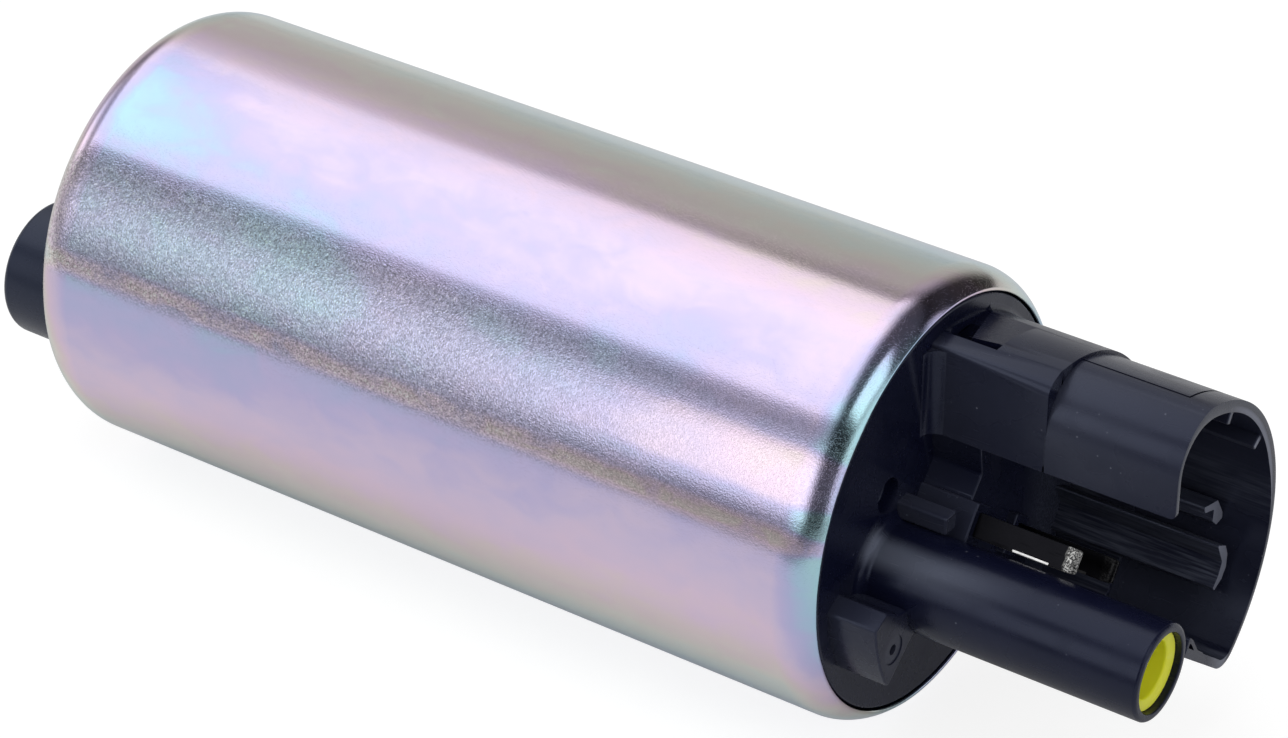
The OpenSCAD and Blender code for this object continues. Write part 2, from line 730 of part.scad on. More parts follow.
slot_r = 2.6;
slot_off = 8.7;
slot_mouth = 1.8;
module armature_core() {
    color("slategrey") difference() {
        bar_x(core_low_x, core_top_x, core_d / 2, fn = round_fn);
        bar_x(core_low_x - over, core_top_x + over, shaft_r);
        for (i = [0:slots - 1])
            polar(360 * i / slots, slot_off) {
                bar_x(core_low_x - over, core_top_x + over, slot_r * 8 / slots);
                translate([core_low_x - over, 0, -slot_mouth / 2])
                    cube([core_len + 2 * over, core_d, slot_mouth]);
            }
    }
}

// Copper in the slots and the two winding heads, rounded as wound
module armature_windings() {
    head_in = shaft_r + 1.2;
    head_out = core_d / 2 - 1;
    r = head_len / 2;
    color("sienna") {
        for (x = [core_low_x - head_len, core_top_x])
            spun(x) {
                translate([head_in + r, 0]) square([head_out - head_in - 2 * r, head_len]);
                translate([head_in + r, r]) circle(r, $fn = small_fn);
                translate([head_out - r, r]) circle(r, $fn = small_fn);
            }
        for (i = [0:slots - 1])
            polar(360 * i / slots, slot_off)
                bar_x(core_low_x - 1, core_top_x + 1, slot_r * 8 / slots - 0.3);
    }
}

hub_r = commutator_d / 2 + 0.5;
segment_in = shaft_r + 1.4;
segments = 8;
module commutator_segments() {
    color("peru") difference() {
        bar_x(commutator_x - segment_t, commutator_x, commutator_d / 2, fn = round_fn);
        bar_x(commutator_x - segment_t - over, commutator_x + over, segment_in);
        for (i = [0:segments / 2 - 1])
            rotate([360 * (i + 0.5) / segments, 0, 0])
                translate([commutator_x - segment_t - over, -commutator_d, -segment_slit / 2])
                    cube([segment_t + 2 * over, 2 * commutator_d, segment_slit]);
    }
}

module commutator_hub() {
    color([0.35, 0.16, 0.1]) difference() {
        union() {
            bar_x(hub_x, hub_x + hub_t, hub_r, fn = round_fn);
            bar_x(hub_x, commutator_x - 0.4, segment_in - seat);
        }
        bar_x(hub_x - over, commutator_x + over, shaft_r);
    }
}

magnet_r = can_in - seat;
magnet_low_x = core_low_x - magnet_over;
magnet_len = core_len + 2 * magnet_over;
module magnet(middle) {
    color([0.3, 0.3, 0.32]) along_x(magnet_low_x) rotate([0, 0, middle - magnet_span / 2])
        rotate_extrude(angle = magnet_span, $fn = round_fn)
            translate([magnet_in, 0]) square([magnet_r - magnet_in, magnet_len]);
}
module magnet_upper() { magnet(90); }
module magnet_lower() { magnet(270); }

// Bent strips of spring steel that push the magnets apart
clip_t = 0.6;
clip_gap = 1.5;
module magnet_clips() {
    half = 90 - magnet_span / 2 - clip_gap;
    x0 = magnet_low_x + 1;
    x1 = magnet_low_x + magnet_len - 1;
    color("silver") for (turn = [0, 180]) rotate([turn, 0, 0]) {
        difference() {
            intersection() {
                bar_x(x0, x1, magnet_r, fn = round_fn);
                drawn_x(x0 - over, x1 + over)
                    polygon([[0, 0], 2 * magnet_r * unit(-half), 2 * magnet_r * unit(half)]);
            }
            bar_x(x0 - over, x1 + over, magnet_r - clip_t, fn = round_fn);
        }
        // Legs turned in along the magnets' ends
        for (side = [-1, 1])
            rotate([side * half, 0, 0])
                translate([x0, magnet_in + 0.8, side > 0 ? -clip_t - 0.1 : 0.1])
                    cube([x1 - x0, magnet_r - magnet_in - 0.8 - clip_t / 2, clip_t]);
    }
}

// Flow channel beside the vanes, an open ring of 330 degrees
channel_start = stub_angle - 15;
channel_sweep = 320;
module flow_channel(x0) {
    along_x(x0) rotate([0, 0, channel_start]) rotate_extrude(angle = channel_sweep, $fn = round_fn)
        translate([channel_in, 0]) square([impeller_r - channel_in, channel_depth + over]);
}

lower_bush_x = casing_top_x + casing_hub - bush_len;
module pump_casing() {
    plate_x = chamber_x + chamber_t;
    color([0.5, 0.5, 0.52]) difference() {
        union() {
            bar_x(chamber_x, casing_top_x, casing_r, fn = round_fn);
            bar_x(casing_top_x - over, casing_top_x + casing_hub, bush_r + 1.3);
        }
        bar_x(chamber_x - over, plate_x, chamber_r, fn = round_fn);
        bar_x(plate_x - over, casing_top_x + casing_hub + over, shaft_r + free_gap);
        bar_x(lower_bush_x, casing_top_x + casing_hub + over, bush_r);
        flow_channel(plate_x - over);
        // Port from the end of the channel into the motor
        polar(channel_start + channel_sweep - 8, (channel_in + impeller_r) / 2)
            bar_x(plate_x - over, casing_top_x + over, 1.3);
    }
}

module lower_bush() {
    color("darkgoldenrod") difference() {
        bar_x(lower_bush_x, lower_bush_x + bush_len, bush_r);
        bar_x(lower_bush_x - over, lower_bush_x + bush_len + over, shaft_r + running);
    }
}

vane_web = 0.8;
vane_gap = 0.62;
module impeller() {
    x0 = chamber_x + side_gap;
    pocket = (impeller_t - vane_web) / 2;
    pitch = 2 * PI * impeller_r / vanes;
    color([0.75, 0.72, 0.62]) difference() {
        bar_x(x0, x0 + impeller_t, impeller_r, fn = round_fn);
        difference() {
            bar_x(x0 - over, x0 + impeller_t + over, shaft_r + seat);
            translate([x0 - over, shaft_r - flat_depth + seat, -shaft_r])
                cube([impeller_t + 2 * over, shaft_d, shaft_d]);
        }
        for (i = [0:vanes - 1]) for (x = [x0 - over, x0 + impeller_t - pocket])
            polar(360 * i / vanes, impeller_r - vane_depth)
                translate([x, 0, -pitch * vane_gap / 2])
                    cube([pocket + over, vane_depth + over, pitch * vane_gap]);
        // Balance holes
        for (a = [30:60:330])
            polar(a, impeller_r / 2) bar_x(x0 - over, x0 + impeller_t + over, 1.1);
    }
}

module inlet_section() {
    roll_c = can_r - inlet_roll;
    roll_x = inlet_x + inlet_roll;
    under_lip = inlet_roll - can_wall - seat;
    translate([0, inlet_face_x]) square([lip_r - rim_gap, inlet_t]);
    translate([0, roll_x]) square([casing_r, chamber_x - roll_x]);
    intersection() {
        translate([roll_c, roll_x]) circle(under_lip, $fn = round_fn);
        translate([lip_r - under_lip, roll_x + seat - under_lip]) square(under_lip);
    }
}

stub_y = stub_off * cos(stub_angle);
stub_z = stub_off * sin(stub_angle);
stub_round = 1.8;
disc_t = 1.2;
disc_x = shaft_low_x - 0.05 - disc_t;
port_depth = 3;
module inlet_cover() {
    stub_r = stub_d / 2;
    stub_in = stub_r - stub_wall;
    color([0.1, 0.1, 0.11]) difference() {
        union() {
            spun() inlet_section();
            along_x(inlet_face_x - stub_len, stub_y, stub_z) rotate_extrude($fn = small_fn) {
                translate([0, stub_round]) square([stub_r, stub_len - stub_round + 1]);
                square([stub_r - stub_round, stub_round + 1]);
                translate([stub_r - stub_round, stub_round]) intersection() {
                    circle(stub_round, $fn = small_fn);
                    translate([0, -stub_round]) square(stub_round);
                }
            }
        }
        // Inlet bore, blind on the shaft's side, and its port into the channel
        bar_x(inlet_face_x - stub_len - over, chamber_x - port_depth, stub_in, stub_y, stub_z);
        intersection() {
            bar_x(chamber_x - port_depth - over, chamber_x + over, stub_in, stub_y, stub_z);
            along_x(chamber_x - port_depth - over) difference() {
                cylinder(h = port_depth + 2 * over, r = impeller_r, $fn = round_fn);
                translate([0, 0, -over]) cylinder(h = port_depth + 4 * over, r = channel_in, $fn = round_fn);
            }
        }
        flow_channel(chamber_x - channel_depth);
        // Pocket for the shaft's end and the thrust disc
        bar_x(disc_x, chamber_x + over, shaft_r + free_gap);
    }
}

module thrust_disc() {
    color("silver") bar_x(disc_x, disc_x + disc_t, shaft_r + free_gap - seat);
}

can();
outlet_cover();
cover_seal();
terminal_positive();
terminal_negative();
check_valve_sleeve();
check_valve_poppet();
check_valve_spring();
relief_valve_cage();
relief_valve_ball();
relief_valve_spring();
choke_core_positive();
choke_core_negative();
choke_coil_positive();
choke_coil_negative();
brush_carrier();
brush_positive();
brush_negative();
brush_spring_positive();
brush_spring_negative();
brush_lead_positive();
brush_lead_negative();
upper_bush();
armature_shaft();
armature_core();
armature_windings();
commutator_segments();
commutator_hub();
magnet_upper();
magnet_lower();
magnet_clips();
pump_casing();
lower_bush();
impeller();
inlet_cover();
thrust_disc();
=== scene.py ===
import math

import bmesh
import bpy
from mathutils import Matrix, Vector


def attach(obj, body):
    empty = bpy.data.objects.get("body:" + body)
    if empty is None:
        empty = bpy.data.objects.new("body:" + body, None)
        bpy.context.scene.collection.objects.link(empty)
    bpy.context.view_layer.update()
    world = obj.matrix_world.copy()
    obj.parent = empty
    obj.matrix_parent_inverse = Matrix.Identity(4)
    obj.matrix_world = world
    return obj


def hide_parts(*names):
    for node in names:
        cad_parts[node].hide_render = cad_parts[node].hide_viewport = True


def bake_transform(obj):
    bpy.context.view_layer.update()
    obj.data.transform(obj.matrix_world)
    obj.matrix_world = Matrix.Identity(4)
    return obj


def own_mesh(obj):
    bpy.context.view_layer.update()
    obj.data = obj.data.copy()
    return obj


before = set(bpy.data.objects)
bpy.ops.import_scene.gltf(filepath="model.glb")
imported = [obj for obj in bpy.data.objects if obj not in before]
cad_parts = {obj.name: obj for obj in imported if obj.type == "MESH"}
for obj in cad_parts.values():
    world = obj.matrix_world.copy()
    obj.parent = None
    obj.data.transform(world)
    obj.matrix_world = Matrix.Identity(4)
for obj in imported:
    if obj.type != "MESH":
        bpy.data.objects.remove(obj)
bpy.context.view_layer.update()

# Sizes in millimetres, in the pump's own frame: +X along the motor axis to the outlet end, +Z up
MM = 0.001
can_r, can_wall = 19.0, 1.2
outlet_x, inlet_x = 39.6, -39.6
outlet_roll, inlet_roll = 4.0, 3.3
lip_r = 17.45
rim_r = lip_r - 0.14
face_x = outlet_x - can_wall
inlet_face_x = inlet_x + can_wall
base_x = face_x - 1
tube_y, tube_z = -7.4, -1.9
tube_r, tube_end, tube_bore = 4.0, face_x + 24.4, 3.3
side_y, side_foot, foot_round = -1.65, 7.7, 0.55
shroud_r, shroud_wall, shroud_end = 15.6, 1.0, face_x + 21.7
collar_end, collar_step = face_x + 10.3, 0.3
collar_head_end = 87.0
head_r, heel_r, heel_off, heel_angle, heel_foot = 4.4, 2.2, 4.47, 231.3, 5.9
panel_low, panel_high, groove_depth = 31.0, 76.0, 0.2
latch_from, latch_to, latch_end, latch_r = 65.5, 87.0, face_x + 4.7, 15.93
past_wall_r = 17.5
rib_angles = (60.2, 30.3)
bent_rail_end, rail_foot_end, hooked_rail_end = face_x + 19.2, face_x + 15.5, face_x + 17.7
platform_x = face_x + 4.4
dimple_y, dimple_z = -7.4, 4.8
relief_y, relief_z, relief_seat_x, relief_bore = -13.1, -4.65, 37.2, 1.25
plug_middle, plug_shift, blade_off, blade_turn = 1.3, -0.42, 3.9, math.radians(-36)
blade_root, blade_foot_len = face_x - 3.8, 4.4
stub_off, stub_angle, stub_bore = 9.4, math.radians(200), 4.5
stub_y, stub_z = stub_off * math.cos(stub_angle), stub_off * math.sin(stub_angle)
brush_off, lead_r, lead_x = 6.8, 0.45, 33.0
positive_angle, negative_angle = 55, 235

# Degrees over which an edge shades sharp
crease = 38
# Signs of the four corners of a blade or pad
corner_signs = ((-1, -1), (1, -1), (1, 1), (-1, 1))


# Shapes

def keep_mesh(name, bm, soft_angle=crease):
    """Turns a bmesh into an object whose rounded edges shade smoothly and whose flats stay flat."""
    bmesh.ops.recalc_face_normals(bm, faces=bm.faces)
    mesh = bpy.data.meshes.new(name)
    bm.to_mesh(mesh)
    bm.free()
    mesh.shade_smooth()
    mesh.set_sharp_from_angle(angle=math.radians(soft_angle))
    piece = bpy.data.objects.new(name, mesh)
    bpy.context.scene.collection.objects.link(piece)
    return piece


def about_axis(r, degrees):
    """A (y, z) point at a radius and angle about the motor axis."""
    return (r * math.cos(math.radians(degrees)), r * math.sin(math.radians(degrees)))


def corner(bm, x, y, z):
    """A mesh point given in millimetres."""
    return bm.verts.new((x * MM, y * MM, z * MM))


def skin(bm, rows):
    """Joins rows of points that each run round a closed section, and closes both ends."""
    for a, b in zip(rows, rows[1:]):
        for k in range(len(a)):
            n = (k + 1) % len(a)
            bm.faces.new((a[k], a[n], b[n], b[k]))
    bm.faces.new(rows[0])
    bm.faces.new(rows[-1][::-1])


def arc(cy, cz, r, a0, a1, steps):
    """Points along an arc in degrees, both ends included."""
    return [(cy + r * math.cos(math.radians(a0 + (a1 - a0) * i / steps)),
             cz + r * math.sin(math.radians(a0 + (a1 - a0) * i / steps))) for i in range(steps + 1)]


def eased(points, radii, steps=5, closed=True):
    """Rounds the corners of a flat outline, each with its own radius."""
    out = []
    count = len(points)
    for i, (point, radius) in enumerate(zip(points, radii)):
        if radius <= 0 or (not closed and i in (0, count - 1)):
            out.append(tuple(point))
            continue
        here = Vector(point)
        back = (Vector(points[i - 1]) - here)
        ahead = (Vector(points[(i + 1) % count]) - here)
        half = back.angle(ahead) / 2
        reach = min(radius / math.tan(half), back.length * 0.49, ahead.length * 0.49)
        radius = reach * math.tan(half)
        centre = here + (back.normalized() + ahead.normalized()).normalized() * radius / math.sin(half)
        start = here + back.normalized() * reach - centre
        stop = here + ahead.normalized() * reach - centre
        turn = start.angle_signed(stop)
        for k in range(steps + 1):
            out.append(tuple(centre + Matrix.Rotation(-turn * k / steps, 2) @ start))
    return out


def turned(name, section, steps=96, y=0.0, z=0.0, soft_angle=crease):
    """A closed section of (x, radius) points turned about an axis along X. Points on the axis close to one."""
    bm = bmesh.new()
    rings = []
    for x, r in section:
        if r < 1e-6:
            rings.append([corner(bm, x, y, z)])
            continue
        angles = [2 * math.pi * k / steps for k in range(steps)]
        rings.append([corner(bm, x, y + r * math.cos(a), z + r * math.sin(a)) for a in angles])
    for a, b in zip(rings, rings[1:] + rings[:1]):
        for k in range(steps):
            n = (k + 1) % steps
            corners = [a[k % len(a)], a[n % len(a)], b[n % len(b)], b[k % len(b)]]
            corners = list(dict.fromkeys(corners))
            if len(corners) > 2:
                bm.faces.new(corners)
    return keep_mesh(name, bm, soft_angle)


def bored(name, spans, steps=48, y=0.0, z=0.0):
    """Space of a stepped round hole along X, from (start, stop, radius) spans."""
    section = [(spans[0][0], 0)]
    for start, stop, r in spans:
        section += [(start, r), (stop, r)]
    return turned(name, section + [(spans[-1][1], 0)], steps, y, z)


def soften(bm, width, angle=32, low_x=None, steps=3):
    """Rounds every edge sharper than an angle, and above low_x only where it is given."""
    edges = [e for e in bm.edges if len(e.link_faces) == 2
             and e.calc_face_angle(0) > math.radians(angle)
             and (low_x is None or max(v.co.x for v in e.verts) > low_x * MM)]
    if width > 0 and edges:
        bmesh.ops.bevel(bm, geom=edges, offset=width * MM, offset_type="OFFSET", segments=steps,
                        profile=0.5, affect="EDGES", clamp_overlap=True)


def drawn(name, outline, x0, x1, edge):
    """A flat (y, z) outline drawn out along X, with its outer end's edges rounded."""
    bm = bmesh.new()
    low = [corner(bm, x0, y, z) for y, z in outline]
    high = [corner(bm, x1, y, z) for y, z in outline]
    bm.faces.new(low)
    bm.faces.new(high)
    for i in range(len(outline)):
        k = (i + 1) % len(outline)
        bm.faces.new((low[i], low[k], high[k], high[i]))
    bmesh.ops.recalc_face_normals(bm, faces=bm.faces)
    soften(bm, edge, low_x=x0 + 0.01)
    return keep_mesh(name, bm)


def moulded(name, outline, radii, x0, x1, edge, steps=5):
    """An outline with rounded corners, drawn out along X."""
    return drawn(name, eased(outline, radii, steps), x0, x1, edge)


def walled(name, outer, inner, x0, ends, edge, outer_end=None):
    """A bent wall between two matching paths, whose height along X may change from point to point."""
    bm = bmesh.new()
    rows = []
    for (oy, oz), (ey, ez), (iy, iz), x1 in zip(outer, outer_end or outer, inner, ends):
        rows.append([corner(bm, *p) for p in ((x0, oy, oz), (x1, ey, ez), (x1, iy, iz), (x0, iy, iz))])
    skin(bm, rows)
    bmesh.ops.recalc_face_normals(bm, faces=bm.faces)
    soften(bm, edge, 40, low_x=x0 + 0.01)
    return keep_mesh(name, bm)


def wire(name, points, r):
    """A round wire along a list of points, with its ends closed."""
    sides = 12
    bm = bmesh.new()
    points = [Vector(p) for p in points]
    rings = []
    side = None
    for i, point in enumerate(points):
        along = (points[min(i + 1, len(points) - 1)] - points[max(i - 1, 0)]).normalized()
        if side is None:
            side = along.orthogonal().normalized()
        side = (side - along * side.dot(along)).normalized()
        other = along.cross(side)
        rings.append([bm.verts.new((point + (side * math.cos(2 * math.pi * k / sides)
                                             + other * math.sin(2 * math.pi * k / sides)) * r) * MM)
                      for k in range(sides)])
    skin(bm, rings)
    return keep_mesh(name, bm, 50)


def carve(body, *cutters):
    """Takes the cutters' shapes out of a body."""
    for cutter in cutters:
        cut = body.modifiers.new("cut", "BOOLEAN")
        cut.operation = "DIFFERENCE"
        cut.solver = "EXACT"
        cut.object = cutter
    graph = bpy.context.evaluated_depsgraph_get()
    mesh = bpy.data.meshes.new_from_object(body.evaluated_get(graph))
    body.modifiers.clear()
    body.data = mesh
    mesh.set_sharp_from_angle(angle=math.radians(crease))
    for cutter in cutters:
        bpy.data.objects.remove(cutter)
    return body


def joined(name, pieces):
    """Brings several shapes into one object."""
    bm = bmesh.new()
    for piece in pieces:
        bm.from_mesh(piece.data)
        bpy.data.objects.remove(piece)
    mesh = bpy.data.meshes.new(name)
    bm.to_mesh(mesh)
    bm.free()
    whole = bpy.data.objects.new(name, mesh)
    bpy.context.scene.collection.objects.link(whole)
    return whole


def evened(piece):
    """Keeps broad faces flat beside their rounded edges."""
    normals = piece.modifiers.new("even_normals", "WEIGHTED_NORMAL")
    normals.keep_sharp = True
    return piece


# Shader building

def put(tree, kind, links=None, **values):
    """Adds a node, sets its values by socket or property name and links its inputs."""
    node = tree.nodes.new(kind)
    for key, value in values.items():
        if key.startswith("in_"):
            node.inputs[key[3:].replace("_", " ")].default_value = value
        else:
            setattr(node, key, value)
    for key, source in (links or {}).items():
        tree.links.new(source, node.inputs[key])
    return node


def maths(tree, operation, a, b=None):
    """One operation on numbers or sockets."""
    node = tree.nodes.new("ShaderNodeMath")
    node.operation = operation
    for socket, value in zip(node.inputs, (a, b)):
        if value is None:
            continue
        if isinstance(value, (int, float)):
            socket.default_value = value
        else:
            tree.links.new(value, socket)
    return node.outputs[0]


def chain(operation):
    """A function that runs one operation over its values, from the first on."""
    def run(tree, total, *others):
        for value in others:
            total = maths(tree, operation, total, value)
        return total
    return run


add, take, times = chain("ADD"), chain("SUBTRACT"), chain("MULTIPLY")


def blend_colour(tree, factor, a, b, blend_type="MIX"):
    """Mixes two colours, each a tuple or a socket."""
    node = tree.nodes.new("ShaderNodeMix")
    node.data_type = "RGBA"
    node.blend_type = blend_type
    for socket, value in ((node.inputs[0], factor), (node.inputs[6], a), (node.inputs[7], b)):
        if isinstance(value, (int, float)):
            socket.default_value = value
        elif isinstance(value, tuple):
            socket.default_value = (*value, 1.0)
        else:
            tree.links.new(value, socket)
    return node.outputs[2]


def fade(tree, value, start, stop, low=0.0, high=1.0, smooth=False):
    """Goes from low to high while a value goes from start to stop, and holds both beyond."""
    kind = "SMOOTHSTEP" if smooth else "LINEAR"
    return put(tree, "ShaderNodeMapRange", {"Value": value}, interpolation_type=kind, in_From_Min=start,
               in_From_Max=stop, in_To_Min=low, in_To_Max=high).outputs["Result"]


def band(tree, value, start, stop, soft):
    """1 between start and stop, falling to 0 over the soft width on each side."""
    return times(tree, fade(tree, value, start - soft, start + soft, smooth=True),
                 fade(tree, value, stop - soft, stop + soft, 1.0, 0.0, True))


def sector(tree, turn, start, stop, soft):
    """A band between two angles in degrees."""
    return band(tree, turn, math.radians(start), math.radians(stop), soft)


def noise(tree, vector, scale, detail=2.0, **values):
    """Noise whose scale is a number or a socket."""
    links = {"Vector": vector}
    if isinstance(scale, float):
        values["in_Scale"] = scale
    else:
        links["Scale"] = scale
    return put(tree, "ShaderNodeTexNoise", links, in_Detail=detail, **values).outputs["Fac"]


def stretched(tree, vector, scale, rotation=(0.0, 0.0, 0.0)):
    """Coordinates scaled and turned, for drawn-out noise."""
    mapped = put(tree, "ShaderNodeMapping", {"Vector": vector}, in_Scale=scale, in_Rotation=rotation)
    return mapped.outputs["Vector"]


def grey(tree, value):
    """The colour whose three parts are one value."""
    return put(tree, "ShaderNodeCombineColor", {"Red": value, "Green": value, "Blue": value}).outputs["Color"]


def brightness(tree, colour):
    return put(tree, "ShaderNodeRGBToBW", {"Color": colour}).outputs["Val"]


def distance(tree, a, b):
    """Length of a step of a one way and b the other."""
    return maths(tree, "SQRT", add(tree, times(tree, a, a), times(tree, b, b)))


def object_axes(tree):
    """Object coordinates, whole and by axis."""
    spot = put(tree, "ShaderNodeTexCoord").outputs["Object"]
    return spot, put(tree, "ShaderNodeSeparateXYZ", {"Vector": spot}).outputs


# Surface effect that all finishes share

def build_surface_group():
    """Patches, fine grain, hairline marks and rubbed edges, as colour, roughness and height."""
    group = bpy.data.node_groups.new("handled_surface", "ShaderNodeTree")
    for label, value in (("Colour", (0.5, 0.5, 0.5, 1)), ("Patch Colour", (0.4, 0.4, 0.4, 1)),
                         ("Edge Colour", (0.6, 0.6, 0.6, 1)), ("Patch Scale", 60.0), ("Grain Scale", 3000.0),
                         ("Grain Depth", 0.5), ("Mark Depth", 0.2), ("Roughness", 0.4),
                         ("Roughness Spread", 0.1), ("Edge Wear", 0.3)):
        kind = "NodeSocketColor" if isinstance(value, tuple) else "NodeSocketFloat"
        group.interface.new_socket(name=label, in_out="INPUT", socket_type=kind).default_value = value
    for label in ("Colour", "Roughness", "Height"):
        kind = "NodeSocketColor" if label == "Colour" else "NodeSocketFloat"
        group.interface.new_socket(name=label, in_out="OUTPUT", socket_type=kind)
    given, out = group.nodes.new("NodeGroupInput").outputs, group.nodes.new("NodeGroupOutput").inputs
    spot = put(group, "ShaderNodeTexCoord").outputs["Object"]
    patch = noise(group, spot, given["Patch Scale"], 4.0, in_Roughness=0.55)
    grain = noise(group, spot, given["Grain Scale"], in_Roughness=0.6)
    hair = noise(group, stretched(group, spot, (300.0, 4200.0, 2600.0), (0.3, 0.5, 0.9)), 1.0, 3.0)
    marks = fade(group, hair, 0.62, 0.72)
    rubbed = fade(group, put(group, "ShaderNodeNewGeometry").outputs["Pointiness"], 0.52, 0.6)
    worn = times(group, rubbed, given["Edge Wear"])
    colour = blend_colour(group, fade(group, patch, 0.35, 0.65), given["Colour"], given["Patch Colour"])
    group.links.new(blend_colour(group, worn, colour, given["Edge Colour"]), out["Colour"])
    spread = times(group, take(group, patch, 0.5), given["Roughness Spread"])
    rough = add(group, given["Roughness"], times(group, spread, 2.0),
                times(group, marks, times(group, given["Mark Depth"], 0.25)))
    group.links.new(rough, out["Roughness"])
    height = take(group, times(group, grain, given["Grain Depth"]), times(group, marks, given["Mark Depth"]))
    group.links.new(height, out["Height"])
    return group


handled_surface = build_surface_group()


def finish(name, colour, patch=None, edge=None, metallic=0.0, roughness=0.4, spread=0.08, patch_scale=60.0,
           grain_scale=3000.0, grain=0.5, marks=0.15, wear=0.3, bump=0.02, extra=None, **constants):
    """A material from the shared surface effect; extra(tree, tinted, rough, height) may add its own to them."""
    material = bpy.data.materials.new(name)
    material.use_nodes = True
    tree = material.node_tree
    shader = tree.nodes["Principled BSDF"]
    surface = tree.nodes.new("ShaderNodeGroup")
    surface.node_tree = handled_surface
    patch = patch or tuple(0.85 * c for c in colour)
    edge = edge or tuple(min(1.0, 1.35 * c + 0.02) for c in colour)
    for label, value in (("Colour", (*colour, 1)), ("Patch Colour", (*patch, 1)), ("Edge Colour", (*edge, 1)),
                         ("Patch Scale", patch_scale), ("Grain Scale", grain_scale), ("Grain Depth", grain),
                         ("Mark Depth", marks), ("Roughness", roughness), ("Roughness Spread", spread),
                         ("Edge Wear", wear)):
        surface.inputs[label].default_value = value
    tinted, rough, height = surface.outputs["Colour"], surface.outputs["Roughness"], surface.outputs["Height"]
    if extra:
        tinted, rough, height = extra(tree, tinted, rough, height)
    relief = put(tree, "ShaderNodeBump", {"Height": height}, in_Strength=1.0, in_Distance=bump * MM)
    tree.links.new(tinted, shader.inputs["Base Color"])
    tree.links.new(rough, shader.inputs["Roughness"])
    tree.links.new(relief.outputs["Normal"], shader.inputs["Normal"])
    shader.inputs["Metallic"].default_value = metallic
    for key, value in constants.items():
        shader.inputs[key.replace("_", " ")].default_value = value
    return material


# Tints of the film on the can, by thickness on a free scale
thinnest, thickest, film_cap = -1.2, 1.6, 1.2
film_tints = (
    (-1.0, (1.0, 0.90, 0.90)), (-0.6, (0.93, 0.81, 1.0)), (-0.3, (0.76, 0.76, 1.0)), (-0.05, (0.72, 0.86, 1.0)),
    (0.12, (0.80, 0.95, 1.0)), (0.28, (0.93, 1.0, 0.95)), (0.42, (1.0, 0.96, 0.90)), (0.55, (1.0, 0.87, 0.89)),
    (0.67, (0.99, 0.82, 0.98)), (0.8, (0.90, 0.79, 1.0)), (0.9, (0.78, 0.72, 1.0)), (1.0, (0.70, 0.72, 1.0)),
    (1.1, (0.62, 0.82, 1.0)), (1.25, (0.62, 0.94, 0.97)), (1.45, (0.98, 0.95, 0.78)))
# Shifts of the film along X: start, stop and depth, and the angles between which it shifts
film_shifts = (
    (0.0352, 0.0388, 0.5, -200, 200), (-0.024, -0.034, 0.2, 98, 128), (-0.0352, -0.0385, -0.5, -200, 200))
film_middle = math.radians(145)
# Pale grey for dust specks and for a painted highlight on end faces inside the plug; dark grey for draw marks
# with their painted sheen and for the painted highlight on the tube root
dust_and_highlight_grey, scuff_and_sheen_grey = (0.17, 0.18, 0.23), (0.085, 0.095, 0.13)


def passivated_tints(tree, tinted, rough, height):
    """Rainbow of a chromate film on zinc, which drifts round and along the can over a spangled ground."""
    spot, axes = object_axes(tree)
    film = add(tree, times(tree, axes["Y"], math.cos(film_middle) / (can_r * MM)),
               times(tree, axes["Z"], math.sin(film_middle) / (can_r * MM)))
    turn = maths(tree, "ARCTAN2", axes["Z"], axes["Y"])
    film = take(tree, film, times(tree, axes["X"], 2.4))
    for size, depth in (((45.0, 130.0, 130.0), 0.34), ((260.0, 420.0, 420.0), 0.2)):
        drift = noise(tree, stretched(tree, spot, size, (0.0, 0.25, 0.35)), 1.0, in_Distortion=0.6)
        film = add(tree, film, times(tree, take(tree, drift, 0.5), depth))
    for start, stop, depth, low, high in film_shifts:
        roll = fade(tree, axes["X"], start, stop, 0.0, depth)
        film = add(tree, film, times(tree, roll, sector(tree, turn, low, high, 0.1)))
    straw = times(tree, sector(tree, turn, 160.5, 165, 0.03), fade(tree, drift, 0.3, 0.55))
    rose = times(tree, sector(tree, turn, 141, 154, 0.03), fade(tree, axes["X"], 0.012, 0.034))
    film = take(tree, film, add(tree, times(tree, straw, 0.42), times(tree, rose, 0.3)))
    film = maths(tree, "MINIMUM", film, film_cap)
    ramp = put(tree, "ShaderNodeValToRGB", {"Fac": fade(tree, film, thinnest, thickest)})
    stops = ramp.color_ramp
    for thickness, tint in film_tints:
        point = stops.elements.new((thickness - thinnest) / (thickest - thinnest))
        point.color = (*[c ** 1.2 for c in tint], 1)
    stops.elements.remove(stops.elements[0])
    stops.elements[-1].color = (1.0, 0.80, 0.85, 1)
    spangle = put(tree, "ShaderNodeTexVoronoi", {"Vector": spot}, in_Scale=7000.0).outputs["Color"]
    cell = take(tree, brightness(tree, spangle), 0.5)
    colour = blend_colour(tree, 1.0, tinted, ramp.outputs["Color"], "MULTIPLY")
    rough = add(tree, rough, times(tree, cell, 0.08))
    matt = times(tree, sector(tree, turn, 135, 166, 0.045), fade(tree, axes["X"], 0.002, 0.028, 1.0, 0.25))
    colour = blend_colour(tree, times(tree, matt, 0.3), colour, grey(tree, brightness(tree, colour)))
    glint = add(tree, times(tree, cell, matt, 0.75), 0.93)
    colour = blend_colour(tree, 1.0, colour, grey(tree, glint), "MULTIPLY")
    matt = add(tree, times(tree, matt, 0.8), 0.2)
    height = times(tree, add(tree, height, times(tree, brightness(tree, spangle), 0.6)), matt)
    return colour, rough, height


def stacked_sheets(tree, tinted, rough, height):
    """Edges of thin laminations stacked along the shaft."""
    axes = object_axes(tree)[1]
    seam = fade(tree, maths(tree, "FRACT", times(tree, axes["X"], 2000.0)), 0.0, 0.18)
    return blend_colour(tree, seam, (0.05, 0.05, 0.06), tinted), rough, add(tree, height, seam)


